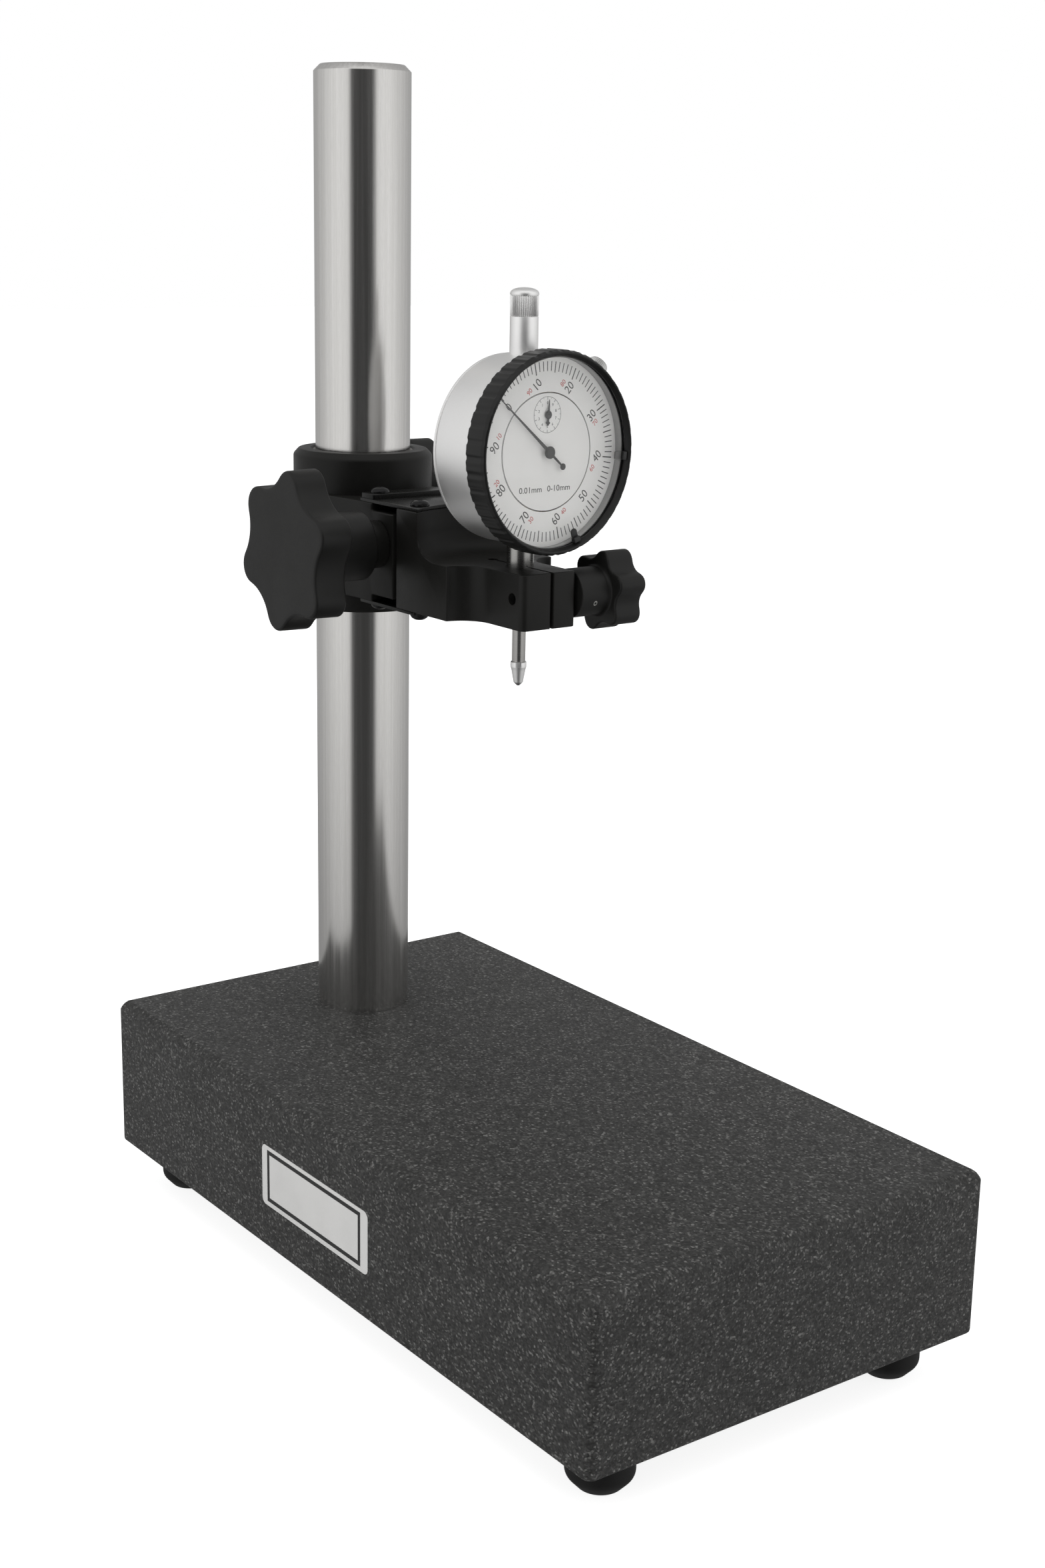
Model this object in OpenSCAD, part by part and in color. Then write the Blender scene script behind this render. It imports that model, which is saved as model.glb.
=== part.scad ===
// Comparator stand: granite base, steel column, clamp with leaf-spring fine
// adjustment and a dial gauge held in the split front end of the arm.
// Millimetres. X to the right, Y to the back, Z up. The origin is the middle of
// the base, on the surface that the feet stand on.

/* [Base] */
// Width of the granite plate
base_w = 140; // [130:1:150]
// Depth of the granite plate
base_d = 260; // [250:1:280]
// Thickness of the granite plate
base_t = 50; // [45:1:55]
// Chamfer along the plate's top edges
base_ch = 2.5; // [1.5:0.5:3]
// Height of a rubber foot
foot_h = 14; // [12:1:18]
// Radius of a rubber foot
foot_r = 9.5; // [8:0.5:11]

/* [Column] */
// Radius of the column
col_r = 15; // [15:0.5:15.5]
// Height of the column above the granite
col_h = 301; // [270:1:320]
// Distance from the base's middle back to the column
col_y = 86.5; // [86:0.5:88]
// Depth of the column's seat in the granite
col_seat = 15; // [12:1:18]

/* [Clamp and arm] */
// Height of the collar's lower face above the granite
clamp_z = 135.6; // [125:0.1:150]
// Height of the collar
collar_h = 49.4; // [48:0.1:52]
// Outer radius of the collar
collar_r = 22; // [22:0.5:23]
// Half width of the clamp block and of the arm's block
block_x = 19; // [19:0.5:20]
// Thickness of a leaf spring
leaf_t = 1; // [0.8:0.1:1.1]
// Radius of the two large star knobs, over the lobes
knob_r = 24.3; // [22:0.1:25]
// Radius of the small star knob, over the lobes
small_knob_r = 12.2; // [10:0.1:13]

/* [Gauge] */
// Turn of the gauge in the arm
gauge_turn = 6; // [-10:1:10]
// Radius of the bezel
bezel_r = 29; // [28.8:0.1:29.3]
// Radius of the case
case_r = 27; // [27:0.1:27.4]
// Radius of the clamping stem
stem_r = 4; // [4:0.01:4.01]
// Radius of the plunger
plunger_r = 2; // [1.9:0.01:2.05]
// Turn of the outer scale against the case
scale_turn = 47.5; // [0:0.5:60]

/* [Hidden] */
$fn = 96;

top_z = foot_h + base_t;              // granite's working face
cz0 = top_z + clamp_z;                // collar's lower face
cz1 = cz0 + collar_h;                 // collar's upper face
bz0 = top_z + 142.4;                  // clamp block and arm block, lower face of the metal
bz1 = top_z + 172.4;                  // their upper face
gap_y0 = 37.8;                        // rear face of the arm's block
gap_y1 = 39.6;                        // front face of the clamp block
screw_x = 13.5;                       // leaf screws
screw_y0 = 33.2;
screw_y1 = 55.2;
leaf_y1 = 59;
leaf_y0 = 28.4;
fine_y = 47.8;                        // axis of the fine adjustment screw
fine_z = top_z + 160.5;
clampk_y = 107.5;                     // axis of the clamp screw
clampk_z = top_z + 160;
neck_z = top_z + 158.7;               // upper face of the arm's front end
g_y = 0.8;                            // gauge axis
g_z = top_z + 192.5;                  // height of the dial's middle
pocket_r = 32;                        // pocket in the arm that clears the gauge
stemk_y = -9.4;                       // axis of the stem clamp screw
stemk_z = top_z + 151.3;
arb_z = 10.4;                         // counter arbor above the dial's middle
rack_x = 2.85;                        // rack arbor
rack_z = 8.74;
big_star = [18.8, 5.5, 43.4, 23.2, 22.8];
small_star = [9.5, 2.7, 13.9, 4.7, 10.75];
pad_t = 1.5;                          // thicker end of the top leaf

// ---- helpers ----
module xcyl(x0, x1, r) { translate([x0, 0, 0]) rotate([0, 90, 0]) cylinder(r = r, h = x1 - x0); }
// disc about the gauge's own front-to-back axis, from depth d0 to d1 towards the dial
module dcyl(d0, d1, r) { translate([0, -d0, 0]) rotate([90, 0, 0]) cylinder(r = r, h = d1 - d0); }
// turned ring about the same axis; points are [radius, depth]
module dturn() { rotate([90, 0, 0]) rotate_extrude() children(); }
// flat plate outline lying in the dial's plane, from depth d0 to d1
module dflat(d0, d1) { translate([0, -d0, 0]) rotate([90, 0, 0]) linear_extrude(d1 - d0) children(); }
// the gauge's frame: origin on the plunger's axis at the dial's height, -Y to the dial
module gplace() { translate([0, g_y, g_z]) rotate([0, 0, gauge_turn]) children(); }
module round_rect(w, d, r) {
    square([w - 2 * r, d], center = true);
    square([w, d - 2 * r], center = true);
    for (sx = [-1, 1], sy = [-1, 1]) translate([sx * (w / 2 - r), sy * (d / 2 - r)]) circle(r = r);
}
module foot_places() { for (sx = [-1, 1], sy = [-1, 1]) translate([sx * 52.5, sy * 113, 0]) children(); }
// six-lobed outline; v holds the lobes' centre distance and radius, the valleys' centre distance and radius, and the body's radius
module star2d(k, v) {
    difference() {
        union() {
            circle(r = v[4] * k);
            for (a = [0:60:300]) rotate(a) translate([v[0] * k, 0]) circle(r = v[1] * k);
        }
        for (a = [30:60:330]) rotate(a) translate([v[2] * k, 0]) circle(r = v[3] * k);
    }
}
// star knob about X: lobes from x0 to x1, the top lobe turned to the front
module star_x(x0, x1, k, v, turn = 0) { translate([x0, 0, 0]) rotate([0, 90, 0]) rotate(turn) linear_extrude(x1 - x0) star2d(k, v); }

// ---- base ----
module granite_base() color([0.22, 0.22, 0.23]) difference() {
    intersection() {
        translate([0, 0, foot_h]) linear_extrude(base_t) round_rect(base_w, base_d, 3);
        translate([0, base_d / 2, foot_h]) rotate([90, 0, 0]) linear_extrude(base_d)
            polygon([[-base_w / 2, 0], [base_w / 2, 0], [base_w / 2, base_t - base_ch], [base_w / 2 - base_ch, base_t], [-base_w / 2 + base_ch, base_t], [-base_w / 2, base_t - base_ch]]);
        translate([-base_w / 2, 0, foot_h]) rotate([90, 0, 90]) linear_extrude(base_w)
            polygon([[-base_d / 2, 0], [base_d / 2, 0], [base_d / 2, base_t - base_ch], [base_d / 2 - base_ch, base_t], [-base_d / 2 + base_ch, base_t], [-base_d / 2, base_t - base_ch]]);
    }
    translate([0, col_y, top_z - col_seat]) cylinder(r = col_r + 0.02, h = col_seat + 1);
    translate([0, col_y, foot_h - 1]) cylinder(r = 5.5, h = base_t);
    translate([0, col_y, foot_h - 1]) cylinder(r = 13, h = 14);
    foot_places() translate([0, 0, foot_h - 1]) cylinder(r = 2.52, h = 17);
    translate([-base_w / 2 - 1, 3.1, foot_h + 23.7]) rotate([90, 0, 90]) linear_extrude(1.5) round_rect(60.2, 19.8, 2.1);
}
module feet() color([0.06, 0.06, 0.06]) foot_places() rotate_extrude() difference() {
    union() {
        translate([0, 3.5]) square([foot_r, foot_h - 3.5]);
        square([foot_r - 3.5, foot_h]);
        translate([foot_r - 3.5, 3.5]) circle(r = 3.5);
    }
    translate([-20, -1]) square([22.7, 20]);
    translate([-1, -1]) square([6.2, 8]);
}
module foot_screws() color([0.6, 0.6, 0.62]) foot_places() difference() {
    union() {
        translate([0, 0, 4.2]) cylinder(r = 4.6, h = 2.8);
        translate([0, 0, 7]) cylinder(r = 2.5, h = 21);
    }
    translate([-0.5, -3, 4]) cube([1, 6, 1.2]);
    translate([-3, -0.5, 4]) cube([6, 1, 1.2]);
}
module label_plate() color([0.82, 0.82, 0.8])
    translate([-base_w / 2, 3.1, foot_h + 23.7]) rotate([90, 0, 90]) linear_extrude(0.5) round_rect(60, 19.6, 2);

// ---- column ----
module column() color([0.72, 0.71, 0.69]) translate([0, col_y, top_z - col_seat]) difference() {
    rotate_extrude() polygon([[0, 0], [col_r - 1, 0], [col_r, 1], [col_r, col_h + col_seat - 2], [col_r - 2, col_h + col_seat], [0, col_h + col_seat]]);
    translate([0, 0, -1]) cylinder(r = 5.02, h = 31);
}
module column_bolt() color([0.25, 0.25, 0.26]) translate([0, col_y, foot_h]) difference() {
    union() {
        translate([0, 0, 1]) cylinder(r = 8, h = 10);
        translate([0, 0, 11]) cylinder(r = 5, h = 49);
    }
    cylinder(r = 4.6, h = 6, $fn = 6);
}
module column_washer() color([0.55, 0.55, 0.57]) translate([0, col_y, foot_h + 11]) difference() {
    cylinder(r = 12, h = 2);
    translate([0, 0, -1]) cylinder(r = 5.4, h = 4);
}

// ---- clamp ----
module column_bush() color([0.62, 0.6, 0.56]) translate([0, col_y, cz0 + 0.4]) difference() {
    cylinder(r = 15.8, h = collar_h - 0.8);
    translate([0, 0, -1]) cylinder(r = col_r + 0.05, h = collar_h + 2);
    translate([-1, 0, -1]) cube([2, 20, collar_h + 2]);
}
module clamp_body() color([0.09, 0.09, 0.095]) difference() {
    union() {
        translate([0, col_y, cz0]) rotate_extrude() polygon([[0, 0], [collar_r - 0.8, 0], [collar_r, 0.8], [collar_r, collar_h - 1.4], [collar_r - 1.4, collar_h], [0, collar_h]]);
        translate([0, 0, bz0]) linear_extrude(bz1 - bz0) polygon([[-21.2, col_y - 5], [-block_x, 58], [-block_x, gap_y1], [block_x, gap_y1], [block_x, 58], [21.2, col_y - 5]]);
        translate([-8, col_y + 10, clampk_z - 8]) cube([27.5, clampk_y - col_y - 10, 16]);
        translate([0, clampk_y, clampk_z]) xcyl(-8, 19.5, 8);
    }
    translate([0, col_y, cz0 - 1]) cylinder(r = 15.85, h = collar_h + 2);
    translate([0, col_y, cz1 - 0.7]) rotate_extrude() polygon([[0, 0], [15.85, 0], [16.65, 0.8], [0, 0.8]]);
    translate([-1, col_y, cz0 - 1]) cube([2, 60, collar_h + 2]);
    // clamp screw: threaded in the left ear, clear in the right ear
    translate([0, clampk_y, clampk_z]) xcyl(-12, 0, 4.02);
    translate([0, clampk_y, clampk_z]) xcyl(0, 22, 4.3);
    // room for the leaf springs to bend
    translate([-30, gap_y1 - 1, bz1 - 2.2]) cube([60, 12.8, 5]);
    translate([-30, gap_y1 - 1, bz0 - 3]) cube([60, 12.8, 5.2]);
    // fine screw, its cavity and the way in for the arm's tongue
    translate([0, fine_y, fine_z]) xcyl(-25, 25, 4.05);
    translate([-9.3, fine_y - 5.6, fine_z - 12.7]) cube([18.6, 11.2, 40]);
    translate([-7, gap_y1 - 1, fine_z - 12.7]) cube([14, 10, 7.1]);
    // leaf screws
    for (sx = [-1, 1]) {
        translate([sx * screw_x, screw_y1, bz1 - 9]) cylinder(r = 2.02, h = 12);
        translate([sx * screw_x, screw_y1, bz0 - 3]) cylinder(r = 2.02, h = 12);
    }
}
module leaf(z) difference() {
    translate([-block_x + 0.3, leaf_y0, z]) cube([2 * block_x - 0.6, leaf_y1 - leaf_y0, leaf_t]);
    for (sx = [-1, 1], y = [screw_y0, screw_y1]) translate([sx * screw_x, y, z - 1]) cylinder(r = 2.1, h = 3);
}
module top_leaf() color([0.12, 0.12, 0.12]) difference() {
    union() {
        leaf(bz1);
        translate([-block_x + 0.3, leaf_y0 - 2.8, bz1]) cube([2 * block_x - 0.6, 3, leaf_t]);
        translate([-block_x + 0.8, 51.4, bz1 + 0.4]) cube([2 * block_x - 1.6, 7.3, leaf_t + pad_t - 0.4]);
    }
    translate([0, g_y, bz1 - 1]) cylinder(r = pocket_r - 0.3, h = 3);
    for (sx = [-1, 1]) translate([sx * screw_x, screw_y1, bz1 - 1]) cylinder(r = 2.1, h = 6);
}
module bottom_leaf() color([0.12, 0.12, 0.12]) leaf(bz0 - leaf_t);
module leaf_screw() difference() {
    union() {
        rotate_extrude() polygon([[0, 0], [2.9, 0], [2.86, 0.45], [2.5, 1.05], [1.9, 1.45], [1.3, 1.7], [0, 1.7]]);
        translate([0, 0, -9]) cylinder(r = 2, h = 9.5);
    }
    translate([0, 0, 0.7]) cylinder(r = 1.1, h = 2, $fn = 6);
}
module leaf_screws(y, up) {
    for (sx = [-1, 1]) {
        translate([sx * screw_x, y, bz1 + leaf_t + up]) leaf_screw();
        translate([sx * screw_x, y, bz0 - leaf_t]) rotate([180, 0, 0]) leaf_screw();
    }
}
module leaf_screws_clamp() color([0.14, 0.14, 0.14]) leaf_screws(screw_y1, pad_t);
module leaf_screws_arm() color([0.14, 0.14, 0.14]) leaf_screws(screw_y0, 0);

// ---- knobs and screws of the clamp ----
module clamp_knob() color([0.07, 0.07, 0.07]) translate([0, clampk_y, clampk_z]) difference() {
    union() {
        star_x(30.4, 39.8, knob_r / 24.3, big_star);
        xcyl(22.4, 31, 10.4);
    }
    xcyl(22, 35, 4);
}
module clamp_screw() color([0.5, 0.5, 0.5]) translate([0, clampk_y, clampk_z]) xcyl(-8, 35, 4);
module clamp_spacer() color([0.1, 0.1, 0.1]) translate([0, clampk_y, clampk_z]) difference() {
    xcyl(19.6, 22.4, 7.2);
    xcyl(19, 23, 4);
}
module fine_knob() color([0.07, 0.07, 0.07]) translate([0, fine_y, fine_z]) difference() {
    union() {
        star_x(-52, -41.6, knob_r / 24.3, big_star, 10.4);
        xcyl(-42, -25.4, 10.4);
    }
    xcyl(-46, -25, 4);
}
module fine_screw() color([0.5, 0.5, 0.5]) translate([0, fine_y, fine_z]) difference() {
    xcyl(-46, 22, 4);
    difference() { xcyl(19.4, 20.2, 6); xcyl(19, 21, 3); }
}
module fine_spacer() color([0.1, 0.1, 0.1]) translate([0, fine_y, fine_z]) difference() {
    xcyl(-25.4, -19.1, 7.2);
    xcyl(-27, -18, 4);
}
module fine_clip() color([0.3, 0.3, 0.3]) translate([0, fine_y, fine_z]) difference() {
    xcyl(19.4, 20.2, 6);
    xcyl(19, 21, 3);
    translate([18, -2, 0]) cube([4, 4, 8]);
}
// nut with a 1:8 slope underneath, which presses the arm's tongue
module fine_wedge() color([0.7, 0.58, 0.3]) translate([0, fine_y, fine_z]) difference() {
    translate([0, 5, 0]) rotate([90, 0, 0]) linear_extrude(10)
        polygon([[-4.6, -8.1 - 4.6 / 8], [4.6, -8.1 + 4.6 / 8], [4.6, 7], [-4.6, 7]]);
    xcyl(-6, 6, 4.05);
}

// ---- arm ----
module arm_plan() {
    difference() {
        polygon([[-block_x, gap_y0], [-block_x, 10.8], [-block_x, 2], [-10.2, 2], [-10.1, -12.5], [-8.1, -14.5],
            [7.3, -14.5], [8.5, -13.3], [8.9, 2], [block_x, 2], [block_x, gap_y0]]);
        // hollow corners where the block narrows to the front end
        translate([-19, 2]) circle(r = 8.8);
        translate([17.7, 2]) circle(r = 8.8);
        translate([block_x - 1.3, -1]) square([2.3, 11.8]);
        translate([-block_x - 1, -1]) square([1.5, 11.8]);
    }
    translate([-8.1, -12.5]) circle(r = 2);
}
module arm() color([0.09, 0.09, 0.095]) difference() {
    union() {
        translate([0, 0, bz0]) linear_extrude(bz1 - bz0) arm_plan();
        // tongue under the wedge nut
        translate([0, fine_y + 4.6, fine_z]) rotate([90, 0, 0]) linear_extrude(fine_y + 4.6 - gap_y0 + 1)
            polygon([[-6, -12], [6, -12], [6, -8.3 + 6 / 8], [-6, -8.3 - 6 / 8]]);
    }
    // pocket that the gauge turns in
    translate([0, g_y, 0]) rotate_extrude() difference() {
        translate([0, neck_z]) square([pocket_r, 60]);
        difference() {
            translate([pocket_r - 7, neck_z - 1]) square([9, 8]);
            translate([pocket_r - 7, neck_z + 7]) circle(r = 7);
        }
    }
    translate([-15, -20, neck_z]) cube([30, 25, 40]);
    for (sx = [-1, 1]) {
        translate([sx * screw_x, screw_y0, bz1 - 9]) cylinder(r = 2.02, h = 12);
        translate([sx * screw_x, screw_y0, bz0 - 3]) cylinder(r = 2.02, h = 12);
    }
    // stem bore, clamping slit and clamp screw
    translate([0, g_y, bz0 - 5]) cylinder(r = stem_r + 0.02, h = 40);
    translate([0.4 - 0.5, -20, bz0 - 5]) cube([1, 35, 40]);
    translate([0.4, 15, bz0 - 5]) cylinder(r = 1.6, h = 40);
    translate([0, stemk_y, stemk_z]) xcyl(-15, -6.5, 1.75);
    translate([0, stemk_y, stemk_z]) xcyl(-7, 0, 2.02);
    translate([0, stemk_y, stemk_z]) xcyl(0, 15, 2.3);
}
module stem_knob() color([0.07, 0.07, 0.07]) translate([0, stemk_y, stemk_z]) difference() {
    union() {
        star_x(20.2, 29.7, small_knob_r / 12.2, small_star, 20);
        xcyl(11.9, 20.6, 7.2);
        xcyl(9.4, 12.2, 6.8);
    }
    xcyl(9, 26, 2);
    translate([14.9, 0, 0]) rotate([110, 0, 0]) translate([0, 0, 2.5]) cylinder(r = 0.8, h = 6);
}
module stem_screw() color([0.55, 0.55, 0.55]) translate([0, stemk_y, stemk_z]) xcyl(-6.8, 26, 2);
module stem_knob_pin() color([0.5, 0.5, 0.5]) translate([14.9, stemk_y, stemk_z]) rotate([110, 0, 0]) translate([0, 0, 2.6]) cylinder(r = 0.8, h = 4.5);

// ---- gauge: case ----
module gauge_case() color([0.8, 0.8, 0.79]) gplace() difference() {
    dturn() polygon([[25, -7], [26.4, -7], [case_r, -6.4], [case_r, 8.2], [26.55, 8.2], [26.55, 9.3], [25, 9.3]]);
    cylinder(r = stem_r, h = 80, center = true);
    for (a = [45:90:315]) rotate([0, a, 0]) translate([25.7, 0, 0]) dcyl(-8, -3, 0.42);
    rotate([0, 47 - 90, 0]) translate([0, -4.6, 0]) translate([20, 0, 0]) rotate([0, 90, 0]) cylinder(r = 1.27, h = 12);
}
module stem() color([0.75, 0.75, 0.74]) gplace() difference() {
    translate([0, 0, -47.5]) cylinder(r = stem_r, h = 22.5);
    translate([0, 0, -50]) cylinder(r = plunger_r + 0.05, h = 40);
}
module upper_sleeve() color([0.8, 0.8, 0.79]) gplace() difference() {
    union() {
        translate([0, 0, 24]) cylinder(r = stem_r, h = 3);
        translate([0, 0, 26.95]) cylinder(r = 4.1, h = 10.45);
        translate([0, 0, 37.4]) cylinder(r = 3.2, h = 3);
    }
    translate([0, 0, 20]) cylinder(r = plunger_r + 0.05, h = 40);
    dturn() polygon([[0, -40], [25.02, -40], [25.02, 40], [0, 40]]);
    difference() {
        dturn() polygon([[0, -40], [case_r, -40], [case_r, 40], [0, 40]]);
        cylinder(r = stem_r, h = 80);
    }
}
module dust_cap() color([0.78, 0.78, 0.77]) gplace() translate([0, 0, 37.4]) difference() {
    rotate_extrude() polygon([[0, 0], [4.1, 0], [4.1, 5.7], [4.15, 5.9], [4.15, 6.3], [3.7, 6.9], [2.8, 7.5], [1.5, 7.85], [0, 7.95]]);
    translate([0, 0, -1]) cylinder(r = 3.2, h = 7);
    translate([-1.2, -2.5, 6.9]) cube([2.4, 5, 2]);
}
module back_cover() color([0.78, 0.78, 0.77]) gplace() difference() {
    dturn() polygon([[0, -8.2], [26.3, -8.2], [26.8, -7.7], [26.8, -7], [0, -7]]);
    for (a = [45:90:315]) rotate([0, a, 0]) translate([25.7, 0, 0]) {
        dcyl(-10, -5, 0.44);
        dcyl(-10, -7.8, 0.76);
    }
}
module back_cover_screws() color([0.6, 0.6, 0.6]) gplace() for (a = [45:90:315]) rotate([0, a, 0]) translate([25.7, 0, 0]) {
    dcyl(-8.3, -7.8, 0.7);
    dcyl(-7.9, -4, 0.4);
}

// ---- gauge: movement ----
module movement_plate() color([0.76, 0.62, 0.32]) gplace() difference() {
    union() {
        dcyl(3.2, 4.2, 24.9);
        for (p = [[-7, -14], [7, -14], [8, 20], [-8, 20]]) translate([p[0], 0, p[1]]) dcyl(4.2, 9.5, 1.2);
    }
    for (p = [[0, 0], [0, arb_z], [rack_x, rack_z]]) translate([p[0], 0, p[1]]) dcyl(2, 5, 0.44);
    for (s = [-1, 1]) translate([12, 0, s * 3]) dcyl(2, 5, 0.9);
}
module front_bridge() color([0.76, 0.62, 0.32]) gplace() difference() {
    union() {
        dflat(6.8, 7.6) polygon([[-3, -5.5], [3, -5.5], [3, 14.5], [1.6, 16], [1.6, 23.2], [-1.6, 23.2], [-1.6, 16], [-3, 14.5]]);
        for (z = [-4, 21.8]) translate([0, 0, z]) dcyl(4.2, 6.9, 1);
    }
    dcyl(6, 8, 0.44);
    translate([0, 0, arb_z]) dcyl(6, 8, 0.44);
}
module rear_bridge() color([0.76, 0.62, 0.32]) gplace() difference() {
    union() {
        dflat(-4.2, -3.4) translate([rack_x - 1.6, rack_z - 1.6]) square([12.2, 3.2]);
        translate([11.8, 0, rack_z]) dcyl(-3.5, 3.2, 1);
    }
    translate([rack_x, 0, rack_z]) dcyl(-5, -3, 0.44);
}
module rack_arbor() color([0.55, 0.55, 0.57]) gplace() translate([rack_x, 0, rack_z]) {
    dcyl(-4.1, 5.3, 0.4);
    dcyl(-1.4, 1.4, 1.55);
    dcyl(4.6, 5.2, 1.62);
}
module counter_arbor() color([0.76, 0.62, 0.32]) gplace() translate([0, 0, arb_z]) {
    dcyl(3.3, 10.55, 0.4);
    dcyl(4.6, 5.2, 1.62);
    difference() {
        dcyl(5.6, 6.1, 9.42);
        for (a = [0:60:300]) rotate([0, a, 0]) translate([5.6, 0, 0]) dcyl(5, 7, 1.7);
    }
}
module center_arbor() color([0.55, 0.55, 0.57]) gplace() {
    dcyl(3.3, 11.6, 0.4);
    dcyl(5.4, 6.3, 0.92);
}
// flat spiral, 3.5 turns
function spiral(r, a) = [r * cos(a), r * sin(a)];
module hairspring() color([0.3, 0.35, 0.5]) gplace() difference() {
    union() {
        dflat(8.3, 8.7) polygon(concat([for (i = [0:84]) spiral(1.1 + i * 0.04, i * 15)], [for (i = [84:-1:0]) spiral(0.95 + i * 0.04, i * 15)]));
        dcyl(8.3, 8.7, 1.15);
    }
    dcyl(8, 9, 0.4);
}
module guide_rail() color([0.6, 0.6, 0.62]) gplace() difference() {
    translate([-7.2, -3.2, -16]) cube([2.6, 5.4, 24]);
    translate([-8, -0.87, -13]) cube([5, 1.74, 18]);
}
module spring_post() color([0.6, 0.6, 0.62]) gplace() translate([-10.5, 0, -21]) dcyl(-1.2, 3.2, 0.8);
module guide_pin() color([0.6, 0.6, 0.62]) gplace() translate([0, 0, -10]) xcyl(-12, -1, 0.8);
module return_spring() color([0.5, 0.5, 0.52]) gplace() translate([-10.5, 0, -20.1]) difference() {
    cylinder(r = 1.2, h = 9.2);
    translate([0, 0, -1]) cylinder(r = 0.8, h = 12);
}
module plunger() color([0.74, 0.74, 0.73]) gplace() difference() {
    translate([0, 0, -62]) cylinder(r = plunger_r, h = 93.3);
    translate([1.24, -4, rack_z - 12.5]) cube([4, 8, 15]);
    translate([0, 0, -10]) xcyl(-4, -1, 0.8);
    translate([0, 0, -63]) cylinder(r = 1.24, h = 5.2);
}
module contact_point() color([0.72, 0.72, 0.7]) gplace() difference() {
    union() {
        translate([0, 0, -62.2]) cylinder(r = 1.24, h = 4);
        translate([0, 0, -68.75]) rotate_extrude() polygon([[0, 0], [0.95, 0], [1.4, 0.55], [2.1, 4.35], [2.36, 5.15], [2.36, 6.75], [0, 6.75]]);
    }
    translate([0, 0, -68.4]) sphere(r = 0.9);
}
module contact_ball() color([0.45, 0.45, 0.47]) gplace() translate([0, 0, -68.4]) sphere(r = 0.9);

// ---- gauge: dial side ----
module inner_dial() color([0.93, 0.93, 0.92]) gplace() difference() {
    dcyl(9.5, 10, 16.5);
    dcyl(9, 11, 0.9);
    translate([0, 0, arb_z]) dcyl(9, 11, 0.7);
}
module outer_dial() color([0.93, 0.93, 0.92]) gplace() difference() {
    dcyl(9.5, 10, 26.6);
    dcyl(9, 11, 16.7);
}
module bezel() color([0.06, 0.06, 0.06]) gplace() difference() {
    dturn() polygon([[26.6, 8.4], [bezel_r - 0.4, 8.4], [bezel_r, 8.8], [bezel_r, 15.4], [bezel_r - 0.7, 16.2], [bezel_r - 1.2, 16.2], [26.9, 14.8], [26.9, 14.4], [27.6, 14.4], [27.6, 12.8], [26.6, 12.8]]);
    for (a = [0:9:351]) rotate([0, a, 0]) translate([bezel_r + 1.45, 0, 0]) dcyl(8, 17, 1.7);
}
module crystal() color([0.9, 0.95, 1, 0.25]) gplace() dcyl(12.8, 14.4, 27.6);
module pointer() color([0.1, 0.1, 0.1]) gplace() rotate([0, -50, 0]) difference() {
    union() {
        dflat(11.1, 11.4) polygon([[-0.12, 24.2], [0.12, 24.2], [0.42, 2], [0.42, 0], [0.28, -6.2], [-0.28, -6.2], [-0.42, 0], [-0.42, 2]]);
        translate([0, 0, -6.8]) dcyl(11.1, 11.4, 0.8);
        dcyl(11, 11.8, 1.6);
    }
    translate([0, 0, -6.8]) dcyl(11, 12, 0.4);
    dcyl(10, 11.65, 0.4);
}
module counter_pointer() color([0.1, 0.1, 0.1]) gplace() translate([0, 0, arb_z]) rotate([0, 4, 0]) difference() {
    union() {
        dflat(10.3, 10.55) polygon([[0, 4.3], [0.42, 0], [0.3, -1.7], [0.75, -2.2], [0, -3.1], [-0.75, -2.2], [-0.3, -1.7], [-0.42, 0]]);
        dcyl(10.2, 10.75, 1.15);
    }
    dcyl(10, 10.6, 0.4);
}
module marker(a) rotate([0, a, 0]) {
    translate([-1.25, -15.1, 22.9]) cube([2.5, 0.6, 3.7]);
    translate([-1.25, -15.9, 25.9]) cube([2.5, 0.9, 0.9]);
}
module marker_a() color([0.05, 0.05, 0.05]) gplace() marker(94.5);
module marker_b() color([0.05, 0.05, 0.05]) gplace() marker(162.5);
module bezel_screw() color([0.75, 0.75, 0.75]) gplace() rotate([0, 47 - 90, 0]) translate([0, -4.6, 0]) {
    translate([26.2, 0, 0]) rotate([0, 90, 0]) cylinder(r = 1.25, h = 4);
    translate([29.4, 0, 0]) rotate([0, 90, 0]) cylinder(r = 3, h = 5.6);
}

granite_base();
feet();
foot_screws();
label_plate();
column();
column_bolt();
column_washer();
column_bush();
clamp_body();
top_leaf();
bottom_leaf();
leaf_screws_clamp();
clamp_knob();
clamp_screw();
clamp_spacer();
fine_knob();
fine_screw();
fine_spacer();
fine_clip();
fine_wedge();
arm();
leaf_screws_arm();
stem_knob();
stem_screw();
stem_knob_pin();
gauge_case();
stem();
upper_sleeve();
dust_cap();
back_cover();
back_cover_screws();
movement_plate();
front_bridge();
rear_bridge();
guide_rail();
spring_post();
return_spring();
guide_pin();
plunger();
contact_point();
contact_ball();
rack_arbor();
counter_arbor();
center_arbor();
hairspring();
pointer();
counter_pointer();
inner_dial();
outer_dial();
bezel();
crystal();
marker_a();
marker_b();
bezel_screw();
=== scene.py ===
import bpy
import bmesh
import math
import random
from mathutils import Matrix, Vector


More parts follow.
